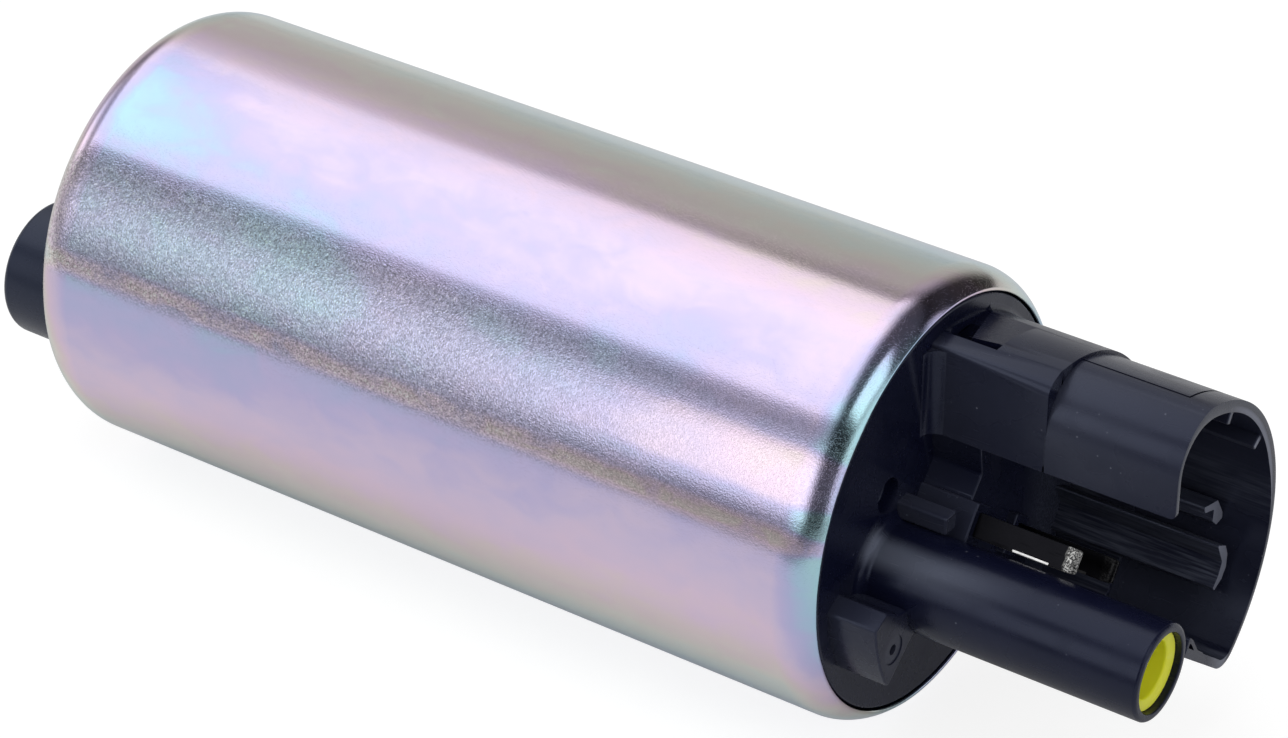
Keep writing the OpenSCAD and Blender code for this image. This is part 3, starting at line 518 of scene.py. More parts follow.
def wound_wire(tree, tinted, rough, height):
    """Strands of enamelled wire lying round the axis."""
    spot, axes = object_axes(tree)
    reach = add(tree, distance(tree, axes["Y"], axes["Z"]), axes["X"])
    strand = add(tree, times(tree, reach, 9000.0), times(tree, noise(tree, spot, 220.0), 9.0))
    crest = add(tree, times(tree, maths(tree, "SINE", strand), 0.5), 0.5)
    colour = blend_colour(tree, crest, (0.16, 0.05, 0.02), tinted)
    return colour, rough, add(tree, height, times(tree, crest, 2.0))


def turned_lines(tree, tinted, rough, height):
    """Fine grooves left by a lathe tool, round the motor axis."""
    axes = object_axes(tree)[1]
    reach = add(tree, distance(tree, axes["Y"], axes["Z"]), axes["X"])
    groove = maths(tree, "SINE", times(tree, reach, 30000.0))
    return tinted, rough, add(tree, height, times(tree, groove, 0.25))


def painted_blade_shade_and_highlight(tree, tinted, rough, height):
    """Painted shade and highlight on the blades: the flanks, and the far blade's tip, are painted near black as
    dark reflection and shade; a painted white highlight runs along the near blade's lower edge; the tin's own
    colour shows, speckled, at the near blade's tip.
    """
    spot, axes = object_axes(tree)
    blot = noise(tree, spot, 900.0, 3.0)
    reach = add(tree, times(tree, axes["X"], 1000.0), times(tree, blot, 0.8))
    # Painted shade: the far, lower blade stays dark even at its tip
    upper = fade(tree, axes["Z"], -0.0018, -0.001, 0.05, 1.0)
    unshaded_tin = times(tree, fade(tree, reach, 51.85, 52.1), upper)
    # Painted highlight: a white line along the near blade's lower edge
    across = add(tree, times(tree, axes["Y"], 588.0), times(tree, axes["Z"], 809.0))
    painted_edge_highlight = times(tree, maths(tree, "LESS_THAN", across, -1.2), upper)
    for limit, test in ((0.0472, "GREATER_THAN"), (0.0504, "LESS_THAN")):
        painted_edge_highlight = times(tree, painted_edge_highlight, maths(tree, test, axes["X"], limit))
    sparkle = fade(tree, noise(tree, spot, 8000.0, 3.0), 0.42, 0.55)
    unshaded_tin = times(tree, unshaded_tin, add(tree, times(tree, sparkle, 0.85), 0.1))
    unshaded_tin = maths(tree, "MAXIMUM", unshaded_tin, painted_edge_highlight)
    # Painted shade on the flanks, then the painted white highlight
    colour = blend_colour(tree, unshaded_tin, (0.012, 0.012, 0.015), tinted)
    colour = blend_colour(tree, painted_edge_highlight, colour, (1.0, 1.0, 1.0))
    return colour, rough, add(tree, height, times(tree, blot, unshaded_tin, 4.0))


def dust_and_painted_light(tree, tinted, rough, height):
    """Specks of dust, draw marks inside the plug painted paler as a sheen, painted light on end faces that face
    the outlet, a painted highlight on the tube root and a paler inlet cover as painted light, on the dark
    plastic.
    """
    spot, axes = object_axes(tree)
    specks = put(tree, "ShaderNodeTexVoronoi", {"Vector": spot}, in_Scale=900.0).outputs["Distance"]
    where = noise(tree, spot, 260.0)
    few = fade(tree, where, 0.52, 0.68)
    colour = blend_colour(tree, times(tree, fade(tree, specks, 0.03, 0.09, 1.0, 0.0), few), tinted, dust_and_highlight_grey)
    inside = times(tree, fade(tree, distance(tree, axes["Y"], axes["Z"]), 0.0149, 0.01515, 1.0, 0.0),
                   fade(tree, axes["Y"], 0.006, 0.009))
    # Draw marks along X inside the plug, painted paler: partly real marks, partly a painted sheen standing in for
    # the light there
    streak = noise(tree, stretched(tree, spot, (260.0, 5200.0, 5200.0)), 1.0, 3.0)
    draw_marks_and_sheen = times(tree, fade(tree, streak, 0.42, 0.68), fade(tree, axes["Z"], 0.004, -0.001), inside)
    colour = blend_colour(tree, times(tree, draw_marks_and_sheen, 0.75), colour, scuff_and_sheen_grey)
    normal = put(tree, "ShaderNodeTexCoord").outputs["Normal"]
    facing = put(tree, "ShaderNodeSeparateXYZ", {"Vector": normal}).outputs["X"]
    # Painted light: end faces that face the outlet are painted paler, more so higher up, and inside the plug they
    # are painted pale grey as a painted highlight
    cut = times(tree, *[maths(tree, "GREATER_THAN", value, limit)
                        for value, limit in ((facing, 0.9), (axes["X"], 0.0545), (axes["Y"], -0.002))])
    painted_end_light = times(tree, cut, fade(tree, axes["Z"], 0.004, 0.012, 0.1, 1.0))
    colour = blend_colour(tree, times(tree, painted_end_light, add(tree, where, 0.2)), colour, (0.036, 0.040, 0.060))
    colour = blend_colour(tree, times(tree, cut, inside), colour, dust_and_highlight_grey)
    # Painted highlight: a paler band along the upper side of the outlet tube's root
    off_y, off_z = take(tree, axes["Y"], tube_y * MM), take(tree, axes["Z"], tube_z * MM)
    lit = sector(tree, maths(tree, "ARCTAN2", off_z, off_y), 110, 142, 0.2)
    painted_root_highlight = times(tree, fade(tree, distance(tree, off_y, off_z), 0.0046, 0.0056, 1.0, 0.0),
                 fade(tree, axes["X"], 0.040, 0.053, 1.0, 0.0, True))
    colour = blend_colour(tree, times(tree, painted_root_highlight, lit), colour, scuff_and_sheen_grey)
    # Painted light: the inlet cover is painted paler, as if more brightly lit
    colour = blend_colour(tree, maths(tree, "LESS_THAN", axes["X"], -0.035), colour, (0.020, 0.025, 0.045))
    rough = add(tree, rough, times(tree, add(tree, few, times(tree, inside, 2.0)), 0.08))
    return colour, rough, add(tree, height, times(tree, draw_marks_and_sheen, 0.8))


# Finishes

zinc_chromate_steel = finish(
    "zinc_chromate_steel", (0.99, 0.99, 0.99), (0.96, 0.96, 0.965), (0.9, 0.98, 1.0), metallic=1.0,
    roughness=0.11, spread=0.02, patch_scale=35.0, grain_scale=7000.0, grain=1.0, marks=0.1, wear=0.3,
    bump=0.026, extra=passivated_tints)
black_moulding = finish(
    "black_moulding", (0.0038, 0.0048, 0.0165), (0.0056, 0.0066, 0.021), (0.040, 0.044, 0.066), roughness=0.25,
    spread=0.1, patch_scale=110.0, grain_scale=2600.0, grain=0.8, marks=0.25, wear=0.7, bump=0.006,
    extra=dust_and_painted_light, Specular_IOR_Level=0.44, Specular_Tint=(0.66, 0.74, 1.0, 1.0))
yellow_moulding = finish(
    "yellow_moulding", (0.95, 0.95, 0.03), (0.9, 0.89, 0.025), (0.98, 0.98, 0.25), roughness=0.33, spread=0.05,
    grain_scale=3500.0, grain=0.5, bump=0.004, Subsurface_Weight=0.08)
tan_moulding = finish("tan_moulding", (0.52, 0.38, 0.2), roughness=0.42, bump=0.006)
grey_moulding = finish("grey_moulding", (0.045, 0.045, 0.05), roughness=0.46, bump=0.01)
brown_resin = finish("brown_resin", (0.09, 0.03, 0.016), (0.12, 0.045, 0.02), roughness=0.5, grain=0.9,
                     bump=0.012)
vane_resin = finish("vane_resin", (0.2, 0.13, 0.075), (0.16, 0.1, 0.055), roughness=0.42, bump=0.008,
                    extra=turned_lines)
tin_plate = finish("tin_plate", (0.62, 0.62, 0.6), (0.52, 0.52, 0.51), (0.8, 0.8, 0.79), metallic=1.0,
                   roughness=0.3, spread=0.1, patch_scale=400.0, grain_scale=6000.0, marks=0.5, wear=0.9,
                   bump=0.012, extra=painted_blade_shade_and_highlight)
spring_wire = finish("spring_wire", (0.6, 0.61, 0.63), metallic=1.0, roughness=0.22, marks=0.4, bump=0.004)
ground_steel = finish("ground_steel", (0.68, 0.69, 0.71), metallic=1.0, roughness=0.2, marks=0.3, bump=0.003,
                      extra=turned_lines)
sintered_bronze = finish("sintered_bronze", (0.42, 0.27, 0.11), (0.3, 0.19, 0.08), metallic=1.0, roughness=0.5,
                         grain_scale=5000.0, grain=1.0, bump=0.03)
laminated_steel = finish("laminated_steel", (0.3, 0.31, 0.34), (0.24, 0.25, 0.3), metallic=1.0, roughness=0.42,
                         bump=0.02, extra=stacked_sheets)
enamelled_copper = finish("enamelled_copper", (0.62, 0.25, 0.1), (0.5, 0.18, 0.06), metallic=1.0, roughness=0.28,
                          bump=0.05, extra=wound_wire)
plain_copper = finish("plain_copper", (0.72, 0.36, 0.2), (0.55, 0.25, 0.13), metallic=1.0, roughness=0.3,
                      marks=0.5, bump=0.006, extra=turned_lines)
brush_carbon = finish("brush_carbon", (0.035, 0.035, 0.04), roughness=0.55, grain_scale=5000.0, grain=1.0,
                      bump=0.03)
ferrite = finish("ferrite", (0.05, 0.05, 0.055), (0.07, 0.068, 0.07), roughness=0.6, grain_scale=2600.0,
                 grain=1.0, bump=0.03)
cast_aluminium = finish("cast_aluminium", (0.62, 0.63, 0.64), (0.5, 0.51, 0.53), metallic=1.0, roughness=0.4,
                        grain_scale=1200.0, grain=1.0, bump=0.02)
seal_rubber = finish("seal_rubber", (0.02, 0.02, 0.02), roughness=0.62, grain=1.0, bump=0.02)

finishes = {
    "cover_seal": seal_rubber, "check_valve_poppet": tan_moulding, "relief_valve_cage": black_moulding,
    "relief_valve_ball": ground_steel, "choke_core_positive": ferrite, "choke_core_negative": ferrite,
    "choke_coil_positive": enamelled_copper, "choke_coil_negative": enamelled_copper,
    "brush_carrier": grey_moulding, "brush_positive": brush_carbon, "brush_negative": brush_carbon,
    "upper_bush": sintered_bronze, "lower_bush": sintered_bronze, "armature_shaft": ground_steel,
    "armature_core": laminated_steel, "armature_windings": enamelled_copper, "commutator_segments": plain_copper,
    "commutator_hub": brown_resin, "magnet_upper": ferrite, "magnet_lower": ferrite, "magnet_clips": spring_wire,
    "pump_casing": cast_aluminium, "impeller": vane_resin, "thrust_disc": ground_steel,
}
for node, material in finishes.items():
    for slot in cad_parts[node].material_slots:
        slot.material = material


def place(piece, body, material, slot, *nodes):
    """Gives a piece its finish and its body, and hides the CAD nodes that it stands for."""
    piece.data.materials.clear()
    piece.data.materials.append(material)
    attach(piece, body)
    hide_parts(*nodes)
    return evened(piece)


# Can

def rolled_lip(x, roll, side, edge=0.18):
    """A rolled end's outer and inner sections from its lip to the top of the roll, as (x, radius) points."""
    centre = can_r - roll
    rise = lip_r + edge - centre
    run = math.sqrt((roll - edge) ** 2 - rise ** 2)
    start = math.degrees(math.atan2(rise, run))
    points = arc(run, rise, edge, -90, start, 8) + arc(0, 0, roll, start, 90, 24)
    back = math.degrees(math.asin((lip_r - centre) / (roll - can_wall)))
    inside = arc(0, 0, roll - can_wall, back, 90, 12)
    return [[(x + side * px, centre + pr) for px, pr in path] for path in (points, inside)]


def build_can():
    outer, inner = rolled_lip(outlet_x - outlet_roll, outlet_roll, 1)
    low_outer, low_inner = rolled_lip(inlet_x + inlet_roll, inlet_roll, -1)
    return turned("can_shell", low_outer + outer[::-1] + inner + low_inner[::-1], 256)


place(build_can(), "housing", zinc_chromate_steel, "can_steel", "can")


# Outlet cover

def round_path(inset, start):
    """Outline of the plug shroud's round wall, from an angle on it round to its heel."""
    turn = math.radians(heel_angle)
    k = heel_off - heel_r
    along = math.sqrt((shroud_r - heel_r) ** 2 - k ** 2)
    heel = (k * math.cos(turn) - along * math.sin(turn), k * math.sin(turn) + along * math.cos(turn))
    heel_start = math.degrees(math.atan2(heel[1], heel[0]))
    path = arc(0, 0, shroud_r - inset, start, heel_start, 90)[:-1]
    path += arc(*heel, heel_r - inset, heel_start, heel_angle - 360, 12)
    path.append(((heel_off - inset) * math.cos(turn) - heel_foot * math.sin(turn),
                 (heel_off - inset) * math.sin(turn) + heel_foot * math.cos(turn)))
    return path


def shroud_path(inset):
    """Outline of the plug shroud from the foot of its flat side over its head and round to its heel."""
    head_y = side_y + head_r
    head_z = math.sqrt((shroud_r - head_r) ** 2 - head_y ** 2)
    head_end = math.degrees(math.atan2(head_z, head_y))
    path = [(side_y + inset, side_foot + foot_round * (1 - math.cos(math.radians(t)))) for t in range(0, 91, 10)]
    path += [(side_y + inset, 9.4), (side_y + inset, 10.2)]
    path += arc(head_y, head_z, head_r - inset, 180, head_end, 16)[:-1]
    return path + round_path(inset, head_end)


def foot_fillet(name, path, x, r):
    """A hollow-cornered strip where a wall stands on the cover's face."""
    bm = bmesh.new()
    rows = []
    for i, point in enumerate(path):
        here = Vector(point)
        along = Vector(path[min(i + 1, len(path) - 1)]) - Vector(path[max(i - 1, 0)])
        out = Vector((-along.y, along.x)).normalized()
        row = []
        for t in range(0, 91, 15):
            spot = here + out * r * (1 - math.sin(math.radians(t)))
            row.append(corner(bm, x + r * (1 - math.cos(math.radians(t))), *spot))
        sunk = here - out * 0.1
        row += [corner(bm, x + r, *sunk), corner(bm, x - 0.1, *sunk), corner(bm, x - 0.1, *(here + out * r))]
        rows.append(row)
    skin(bm, rows)
    return keep_mesh(name, bm, 35)


def build_cover_disc():
    section = eased(
        [(35.4, 0), (face_x, 0), (face_x, rim_r), (37.3, rim_r), (36.95, 17.4), (36.3, 17.66), (34.2, 17.78),
         (34.2, 16.48), (32.0, 16.48), (32.0, 17.78), (27.6, 17.78), (27.6, 15.78), (35.4, 15.78)],
        [0, 0, 0.22, 0.1, 0, 0, 0.1, 0.1, 0.1, 0.1, 0.2, 0.2, 0.3], 4)
    disc = turned("cover_disc", section, 192)
    floor_x, top_x = face_x - 1.3, face_x + 0.5
    hollow = eased([(floor_x, 0), (floor_x, 1.45), (top_x, 1.5), (top_x, 0)], [0, 0.2, 0, 0])
    dimple = turned("dimple", hollow, 48, dimple_y, dimple_z)
    passage = bored("passage", [(30, 45, 2.3)], 48, tube_y, tube_z)
    relief = bored("relief", [(30, relief_seat_x, 0.7), (relief_seat_x, 45, relief_bore)], 32, relief_y, relief_z)
    return carve(disc, dimple, passage, relief)


def build_outlet_tube():
    fillet = 0.9
    section = [(37.6, tube_r + fillet + 0.3), (face_x - 0.02, tube_r + fillet + 0.3)]
    section += arc(face_x + fillet, tube_r + fillet, fillet, 180, 270, 10)
    tip = len(section)
    section += [(tube_end, tube_r), (tube_end, tube_bore), (49.75, tube_bore), (49.75, 2.6), (40.0, 2.6),
                (40.0, 1.9), (35.45, 1.9), (35.45, 2.6), (37.6, 2.6)]
    radii = [0.0] * len(section)
    radii[tip], radii[tip + 1] = 0.5, 0.12
    return turned("outlet_tube", eased(section, radii, 6), 96, tube_y, tube_z, 30)


def share(value):
    """A value held between 0 and 1."""
    return max(0.0, min(1.0, value))


def thinned(outer, inner):
    """Moves the inner path outward where the wall is thin: at the flat side, beyond the ribs and at the heel."""
    out = []
    for near, far in zip(outer, inner):
        angle = math.degrees(math.atan2(near[1], near[0]))
        thick = 0.45 + 0.55 * share((96 - angle) / 16) * share((angle + 8) / 25)
        thick += 0.35 * share((-50 - angle) / 8)
        out.append(tuple(Vector(near).lerp(Vector(far), thick)))
    return out


def groove_cut(start, stop, steps, x0, x1):
    """Space of a shallow groove in the shroud's round wall."""
    outside = arc(0, 0, 17.2, start, stop, steps)
    inside = arc(0, 0, shroud_r - groove_depth, start, stop, steps)
    return walled("groove", outside, inside, x0, [x1] * (steps + 1), 0)


def build_shroud():
    outer = shroud_path(0)
    inner = thinned(outer, shroud_path(shroud_wall))
    ends = []
    for y, z in outer:
        up = z - side_foot
        if y < side_y + 0.001 and up < foot_round:
            ends.append(shroud_end - foot_round + math.sqrt(foot_round ** 2 - (foot_round - up) ** 2))
        else:
            ends.append(shroud_end)
    wall = walled("shroud_wall", outer, inner, collar_end - 0.15, ends, 0.22)
    x0 = face_x + 19.4
    grooves = [groove_cut(panel_low, panel_high, 30, x0, x0 + 0.2)]
    grooves += [groove_cut(a, a + 0.8, 2, collar_end - 0.5, face_x + 19.55) for a in (panel_low, panel_high)]
    return carve(wall, *grooves)


def collar_head(top, rounding, top_angle):
    """The collar's outline over its head, from the flat side's foot up to the round wall."""
    r = shroud_r + collar_step
    rounded = eased([(side_y, 8.6), (side_y, top), about_axis(r, top_angle)], [0, rounding, 0], 6, False)
    return rounded + [about_axis(r, top_angle - 1.5)]


def build_collar():
    """The collar, whose head is squared at its base and rounder at its end."""
    low = collar_head(15.72, 0.1, 90)
    high = collar_head(15.3, 1.3, 89.5)
    foot = shroud_path(0)[:10]
    turn = len(low) - 3
    inner = shroud_path(shroud_wall)[:10] + [(side_y + shroud_wall, 10.8)]
    inner += [(side_y + shroud_wall + 1.2 * i / turn, 13.2 + 1.3 * i / turn) for i in range(1, turn + 1)]
    inner += [about_axis(shroud_r - shroud_wall, 88.5)] + round_path(shroud_wall, collar_head_end)
    rest = round_path(-collar_step, collar_head_end)
    outer, outer_end = foot + low[1:] + rest, foot + high[1:] + rest
    return walled("collar", outer, inner, base_x, [collar_end] * len(outer), 0.1, outer_end)


def latch_cut():
    """Space of the latch recess: a pocket at the cover's face and a ramp that rises to the collar's outside."""
    bm = bmesh.new()
    rows = []
    for angle, low, pocket, ramp in ((latch_from, 0.4, 0.12, 0.02), (latch_to, 2.05, 1.2, 0.3)):
        section = [(face_x + 0.15, past_wall_r), (face_x + 0.15, latch_r - pocket),
                   (face_x + low - 0.1, latch_r - pocket), (face_x + low, latch_r - ramp), (latch_end, 15.95),
                   (latch_end, past_wall_r)]
        rows.append([corner(bm, x, *about_axis(r, angle)) for x, r in section])
    skin(bm, rows)
    return keep_mesh("latch", bm)


def slit_cut():
    corners = ((11.0, 86.6), (past_wall_r, 86.6), (past_wall_r, 89.8), (11.0, 89.8))
    return drawn("slit", [about_axis(*c) for c in corners], face_x + 0.3, face_x + 4.72, 0)


def at_blade(side, x, across, along):
    """A point given by its place across and along a blade's width, as (x, y, z)."""
    n, w = plug_middle + side * blade_off + across, plug_shift + along
    cos, sin = math.cos(blade_turn), math.sin(blade_turn)
    return (x, n * cos - w * sin, n * sin + w * cos)


def build_rails():
    """The two key rails, the foot of the bent one and the two guide ribs."""
    parts = [
        moulded("bent_rail", [(11.35, -3.1), (12.8, -3.9), (13.2, -4.9), (13.15, -6.15), (12.5, -7.0),
                              (11.3, -7.45), (11.1, -7.1), (11.85, -6.3), (12.35, -5.25), (11.6, -3.65)],
                [0.1, 0.2, 0.2, 0.2, 0.15, 0.1, 0.1, 0.15, 0.1, 0.1], base_x, bent_rail_end, 0.1, 3),
        drawn("rail_foot", [(12.7, -4.9), (14.8, -5.1), (14.8, -6.1), (12.7, -6.1)], base_x, rail_foot_end, 0.1),
        moulded("hooked_rail", [(11.4, -0.1), (13.8, -0.7), (14.8, -2.4), (14.9, -3.0), (13.8, -3.1),
                                (13.1, -2.4), (13.2, -1.3), (11.7, -0.8)],
                [0.12, 0.25, 0, 0, 0.15, 0.15, 0.15, 0.1], base_x, hooked_rail_end, 0.1, 3)]
    half = math.degrees(0.3 / 14)
    for angle in rib_angles:
        corners = ((13.5, -half), (15.2, -half), (15.2, half), (13.5, half))
        outline = [about_axis(r, angle + off) for r, off in corners]
        parts.append(drawn("guide_rib", outline, base_x, shroud_end - 0.3, 0.12))
    return parts


def build_outlet_cover():
    inner_path = shroud_path(0.5)
    mouth = [(-1.2, -3.6), (-3.7, 0.3), (-1.9, 3.3), (-0.7, 4.7), (-1.0, 6.4)]
    mouth = eased([inner_path[-1]] + mouth + [inner_path[0]], [0, 0.6, 0.8, 0.6, 0.6, 0.5, 0], 4, False)[1:-1]
    platform = drawn("platform", inner_path + mouth, base_x, platform_x, 0.16)
    parts = [build_cover_disc(), build_outlet_tube(), build_shroud()]
    parts += [carve(body, latch_cut(), slit_cut()) for body in (build_collar(), platform)]
    heel_lip = moulded("heel_lip", [(1.9, -7.2), (2.54, -5.63), (3.3, -6.4), (4.2, -7.9), (5.2, -8.75),
                                    (4.9, -9.55)],
                       [0.1, 0.25, 0.3, 0.8, 0, 0], base_x, shroud_end - 0.01, 0.14)
    hollow = moulded("hollow", [(2.3, -7.25), (2.65, -6.25), (3.05, -6.75), (3.85, -8.15), (3.9, -8.6)],
                     [0.1, 0.15, 0.1, 0.1, 0.1], shroud_end - 1.2, shroud_end + 1, 0)
    parts.append(carve(heel_lip, hollow))
    parts += build_rails()
    boss = moulded("relief_boss",
                   [(-8.4, -4.3), (-10.4, -5.0), about_axis(15.9, 209.5)]
                   + [about_axis(15.9, a) for a in (206, 203, 200, 197, 194, 191, 188)]
                   + [about_axis(15.9, 184.7), (-14.3, -0.5), (-12.4, -1.7), (-11.0, -2.0), (-8.4, -0.9)],
                   [0, 0, 0.35] + [0] * 7 + [0.3, 0.25, 0.5, 0, 0], base_x, platform_x, 0.18, 4)
    bore = bored("bore", [(relief_seat_x, platform_x + 0.3, relief_bore)], 48, relief_y, relief_z)
    parts.append(carve(boss, bore))
    parts.append(moulded("short_block", [(-5.96, 1.86), (-4.36, 1.86), (-4.36, 3.46), (-5.96, 3.46)], [0.2] * 4,
                         base_x, platform_x, 0.25, 3))
    for side in (-1, 1):
        pad = [at_blade(side, 0, a * 1.2, b * 1.7)[1:] for a, b in corner_signs]
        parts.append(moulded("blade_pad", pad, [0.25] * 4, face_x, platform_x + 0.8, 0.15, 3))
    flat = [(side_y, z) for z in (7.72, 9, 11, 13, 14.6, 15.3)]
    parts.append(foot_fillet("side_fillet", flat, face_x, 1.3))
    round_side = round_path(-collar_step, collar_head_end)
    past_latch = next(i for i, (y, z) in enumerate(round_side) if math.degrees(math.atan2(z, y)) < latch_from)
    parts.append(foot_fillet("round_fillet", round_side[past_latch:], face_x, 0.55))
    return joined("outlet_cover_moulding", parts)


place(build_outlet_cover(), "housing", black_moulding, "cover_plastic", "outlet_cover")


# Terminal blades

def build_blade(side):
    sections = [(blade_root, 0.4, 1.0), (face_x + 13.55, 0.4, 1.0), (face_x + 13.95, 0.28, 0.96),
                (face_x + 14.15, 0.2, 0.9), (face_x + 14.2, 0.14, 0.8)]
    rows = [[(x, a * across, b * along) for a, b in corner_signs] for x, across, along in sections]
    ends = sorted((0, blade_foot_len * side))
    outline = [(blade_root, ends[0]), (blade_root, ends[1]), (face_x - 3.02, ends[1]), (face_x - 3.02, ends[0])]
    foot_rows = [[(x, across, along) for x, across in outline] for along in (-0.98, 0.98)]
    parts = []
    for name, shape, edge, soft_angle in (("blade", rows, 0.07, 25), ("foot", foot_rows, 0.1, crease)):
        bm = bmesh.new()
        skin(bm, [[bm.verts.new(Vector(at_blade(side, *p)) * MM) for p in row] for row in shape])
        bmesh.ops.recalc_face_normals(bm, faces=bm.faces)
        soften(bm, edge, 50, steps=2)
        parts.append(keep_mesh(name, bm, soft_angle))
    return joined("blade_negative" if side > 0 else "blade_positive", parts)


place(build_blade(-1), "housing", tin_plate, "tinned_brass", "terminal_positive")
place(build_blade(1), "housing", tin_plate, "tinned_brass", "terminal_negative")


# Valve sleeve in the mouth of the outlet tube

def build_valve_sleeve():
    x1 = tube_end - 0.6
    x0 = x1 - 12.45
    section = [(x0 + 0.05, 3.27), (x1 - 0.06, 3.27), (x1, 3.2), (x1 - 0.22, 2.47), (x1 - 0.27, 2.41),
               (x1 - 0.35, 2.37), (x1 - 0.45, 2.35), (x0, 2.35), (x0, 3.22)]
    parts = [turned("barrel", section, 96, tube_y, tube_z, 40)]
    web = x0 + 1.4
    hub = eased([(web, 0.83), (web + 1.2, 0.83), (web + 1.2, 1.5), (web, 1.5)], [0.05] * 4, 2)
    parts.append(turned("hub", hub, 32, tube_y, tube_z))
    middle = Vector((tube_y, tube_z))
    for angle in (90, 210, 330):
        out = Vector(about_axis(1, angle))
        across = Vector((-out.y, out.x)) * 0.35
        corners = [middle + out * 1.3 - across, middle + out * 2.5 - across, middle + out * 2.5 + across,
                   middle + out * 1.3 + across]
        parts.append(drawn("spoke", [tuple(c) for c in corners], web + 0.03, web + 1.17, 0.06))
    return joined("valve_sleeve", parts)


place(build_valve_sleeve(), "housing", yellow_moulding, "sleeve_plastic", "check_valve_sleeve")


# Inlet cover

def build_inlet_cover():
    x = inlet_face_x
    disc = turned("inlet_disc", eased(
        [(x, 0), (x, rim_r), (x + 1.0, rim_r), (x + 1.35, 17.4), (x + 2.3, 17.74), (x + 6, 17.78), (x + 6, 0)],
        [0, 0.22, 0.1, 0, 0, 0.1, 0], 4), 192)
    bore = bored("bore", [(x - 12, -35.4, stub_bore)], 48, stub_y, stub_z)
    pocket = bored("pocket", [(-34.55, -30, 2.8)])
    outside, inside = arc(0, 0, 15, 185, 505, 96), arc(0, 0, 12.2, 185, 505, 96)
    channel = walled("channel", outside, inside, -33.6, [-31.0] * 97, 0)
    port = walled("port", arc(0, 0, 13.9, 188, 212, 8), arc(0, 0, 12.3, 188, 212, 8), -36, [-31.0] * 9, 0)
    disc = carve(disc, bore, pocket, channel, port)
    end = x - 8.2
    section = [(x + 1.5, 4.55), (x + 1.5, 6.6), (x - 0.02, 6.6)] + arc(x - 0.6, 6.6, 0.6, 0, -90, 6)
    section += [(end, 6.0), (end, stub_bore)]
    radii = [0.0] * (len(section) - 2) + [1.8, 0.2]
    stub = turned("inlet_stub", eased(section, radii, 8), 96, stub_y, stub_z, 30)
    return joined("inlet_cover_moulding", [disc, stub])


place(build_inlet_cover(), "housing", black_moulding, "cover_plastic", "inlet_cover")


# Springs and leads

def coil_points(x0, x1, r, turns, y, z):
    """Centre line of a closed-end spring along X."""
    steps = int(turns * 24)
    points = []
    for i in range(steps + 1):
        t = i / steps
        x = x0 + (x1 - x0) * (t + math.sin(2 * math.pi * t) * -0.02)
        angle = 2 * math.pi * turns * t
        points.append((x, y + r * math.cos(angle), z + r * math.sin(angle)))
    return points


# Name, CAD node, joint, travel in metres, both ends' x, radius, wire radius, turns, and the axis's y and z
brush_coil = (0.0015, 26.18, 30.72, 1.3, 0.25, 4)
springs = [
    ("check_spring", "check_valve_spring", "check_valve_slide", 0.002, 41.5, 50.9, 1.45, 0.22, 5, tube_y, tube_z),
    ("relief_spring", "relief_valve_spring", "relief_valve_slide", 0.0008, 39.3, 40.81, 0.8, 0.16, 3, relief_y,
     relief_z),
    ("brush_spring_a", "brush_spring_positive", "brush_positive_slide", *brush_coil,
     *about_axis(brush_off, positive_angle)),
    ("brush_spring_b", "brush_spring_negative", "brush_negative_slide", *brush_coil,
     *about_axis(brush_off, negative_angle)),
]
for name, node, joint, travel, x0, x1, r, thick, turns, y, z in springs:
    spring = wire(name, coil_points(x0, x1, r, turns, y, z), thick)
    place(spring, "housing", spring_wire, "spring_steel", node)
    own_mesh(spring)

for key, body, node, start, stop in (
        ("positive", "positive_brush", "brush_lead_positive", positive_angle, 128),
        ("negative", "negative_brush", "brush_lead_negative", negative_angle, 305)):
    out = about_axis(brush_off, start)
    points = [(x, *out) for x in (25.92, 27.0, 28.1, 29.2, 30.3, 31.4, 32.4)]
    points += [(32.8, *about_axis(brush_off, start + 1.5))]
    points += [(lead_x, *about_axis(brush_off, start + 4 + (stop - start - 4) * i / 16)) for i in range(17)]
    lead = wire("lead_" + key, points, lead_r)
    lead.data.materials.append(plain_copper)
    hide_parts(node)
    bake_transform(lead)


# Floor, light and camera

def lay_floor():
    bm = bmesh.new()
    bmesh.ops.create_circle(bm, cap_ends=True, radius=4.0, segments=96)
    floor = keep_mesh("floor", bm)
    floor.location.z = -can_r * MM
    material = bpy.data.materials.new("pale_floor")
    material.use_nodes = True
    tree = material.node_tree
    shader = tree.nodes["Principled BSDF"]
    shader.inputs["Roughness"].default_value = 0.7
    shader.inputs["Specular IOR Level"].default_value = 0.1
    path = put(tree, "ShaderNodeLightPath").outputs
    seen, mirrored = path["Is Camera Ray"], path["Is Glossy Ray"]
    spot, axes = object_axes(tree)
    pale = fade(tree, noise(tree, spot, 3.0), 0.0, 1.0, 0.25, 0.27)
    # Painted shade: for all rays but the camera's the floor is darker out towards -Y, so that the steel mirrors a
    # dark band there
    floor_tone_with_painted_shade = fade(tree, axes["Y"], -0.145, -0.11, 0.25, 0.56, True)
    tree.links.new(blend_colour(tree, seen, floor_tone_with_painted_shade, pale), shader.inputs["Base Color"])
    glow = add(tree, times(tree, seen, 0.84), times(tree, mirrored, floor_tone_with_painted_shade, 0.2))
    tree.links.new(grey(tree, glow), shader.inputs["Emission Color"])
    shader.inputs["Emission Strength"].default_value = 1.0
    floor.data.materials.append(material)


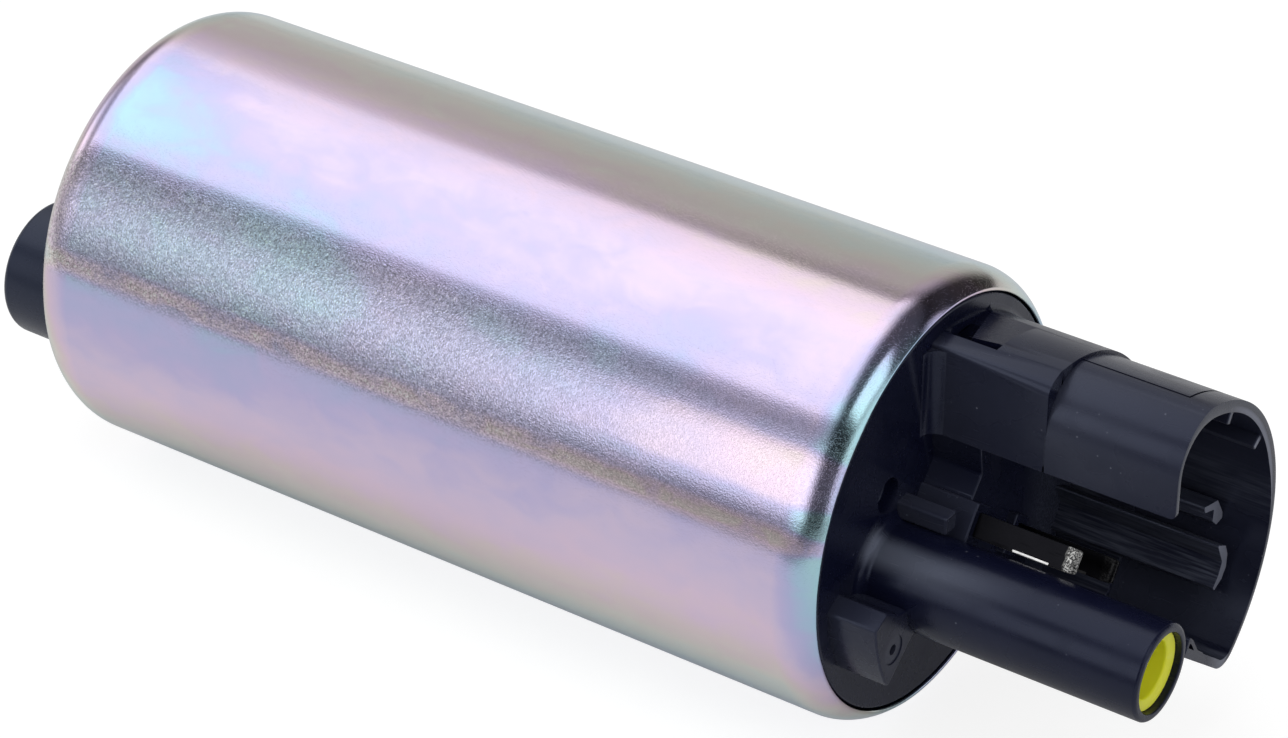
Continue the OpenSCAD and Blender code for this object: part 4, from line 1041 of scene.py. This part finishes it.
def softbox(name, centre, target, size, radiance):
    """An area light turned to its target, which lights the part but isn't mirrored in it."""
    lamp = bpy.data.lights.new(name, "AREA")
    lamp.shape = "RECTANGLE"
    lamp.size, lamp.size_y = size
    lamp.energy = radiance * math.pi * size[0] * size[1]
    box = bpy.data.objects.new(name, lamp)
    bpy.context.scene.collection.objects.link(box)
    look = (Vector(target) - Vector(centre)).normalized()
    side = Vector((1, 0, 0))
    side = (side - look * side.dot(look)).normalized()
    box.matrix_world = Matrix((side, (-look).cross(side), -look)).transposed().to_4x4()
    box.location = centre
    box.visible_camera = False
    box.visible_glossy = False


# What the can mirrors, by lean in degrees from straight up: the radiance at its inlet end and its outlet end
room_bands = (
    (-180, 0.50, 0.50), (-106, 0.66, 0.66), (-92, 0.50, 0.50), (-82, 0.44, 0.42), (-62, 0.45, 0.38),
    (-52, 0.54, 0.38), (-43, 0.72, 0.22), (-40, 0.86, 0.30), (-37, 0.98, 0.94), (-12, 1.18, 1.18),
    (31.5, 1.16, 1.18), (34.5, 0.11, 0.34), (45, 0.11, 0.38), (50, 0.38, 0.80), (56, 0.58, 1.34),
    (72, 0.55, 1.34), (82, 0.50, 1.15), (85, 0.14, 0.2), (180, 0.2, 0.2))
# The share of each radiance that the ramps hold, and by which their mix is divided again
ramp_share = 0.5


def light_room():
    """A room with a broad overhead panel, a narrower front panel and grey walls, as the steel mirrors them."""
    world = bpy.data.worlds.new("room")
    bpy.context.scene.world = world
    world.use_nodes = True
    tree = world.node_tree
    given = put(tree, "ShaderNodeTexCoord").outputs["Generated"]
    aim = put(tree, "ShaderNodeSeparateXYZ", {"Vector": given}).outputs
    lean = maths(tree, "ARCTAN2", times(tree, aim["Y"], -1.0), aim["Z"])
    around = add(tree, maths(tree, "DIVIDE", lean, 2 * math.pi), 0.5)
    ends = []
    for end in (1, 2):
        ramp = put(tree, "ShaderNodeValToRGB", {"Fac": around})
        stops = ramp.color_ramp.elements
        tones = [(*[ramp_share * stop[end]] * 3, 1) for stop in room_bands]
        stops[0].color, stops[-1].color = tones[0], tones[-1]
        for stop, tone in zip(room_bands[1:-1], tones[1:-1]):
            stops.new(stop[0] / 360 + 0.5).color = tone
        ends.append(ramp.outputs["Color"])
    tone = times(tree, blend_colour(tree, fade(tree, aim["X"], -0.58, -0.45), *ends), 1 / ramp_share)
    late = fade(tree, lean, -0.5, 1.0, 0.0, 0.3)
    away = fade(tree, take(tree, aim["X"], late), -0.28, 0.1, 1.0, 0.07, True)
    gap = times(tree, band(tree, aim["X"], -0.92, -0.76, 0.06), band(tree, lean, -1.2, 0.9, 0.2))
    high = times(tree, band(tree, aim["X"], 0.44, 0.78, 0.05), band(tree, lean, -0.22, 0.45, 0.08))
    front = band(tree, aim["X"], 0.82, 1.2, 0.06)
    rear = times(tree, band(tree, aim["X"], 0.55, 0.8, 0.06), band(tree, lean, -1.7, -0.85, 0.12))
    tone = times(tree, tone, away, take(tree, 1.0, times(tree, gap, 0.65)))
    tone = add(tree, tone, times(tree, high, 1.15), times(tree, front, 0.8), times(tree, rear, 0.7))
    tree.links.new(grey(tree, tone), tree.nodes["Background"].inputs["Color"])
    softbox("top_box", (-0.1, -0.1, 0.6), (0, 0, 0), (0.7, 0.7), 0.95)
    softbox("front_box", (0.55, -0.3, 0.35), (0.03, 0, 0), (0.4, 0.4), 1.6)


def set_camera():
    """The camera that was fitted to the photograph."""
    camera = bpy.data.cameras.new("camera")
    camera.lens = 121.84
    camera.sensor_width = 36.0
    camera.clip_start = 0.01
    stand = bpy.data.objects.new("camera", camera)
    bpy.context.scene.collection.objects.link(stand)
    look = Vector((-0.47738, 0.69085, -0.54298)).normalized()
    right = look.cross(Vector((0, 0, 1))).normalized()
    up = right.cross(look)
    stand.matrix_world = Matrix((right, up, -look)).transposed().to_4x4()
    stand.location = (0.180099, -0.245520, 0.195162)
    bpy.context.scene.camera = stand


lay_floor()
light_room()
set_camera()
bpy.context.scene.view_settings.view_transform = "Standard"
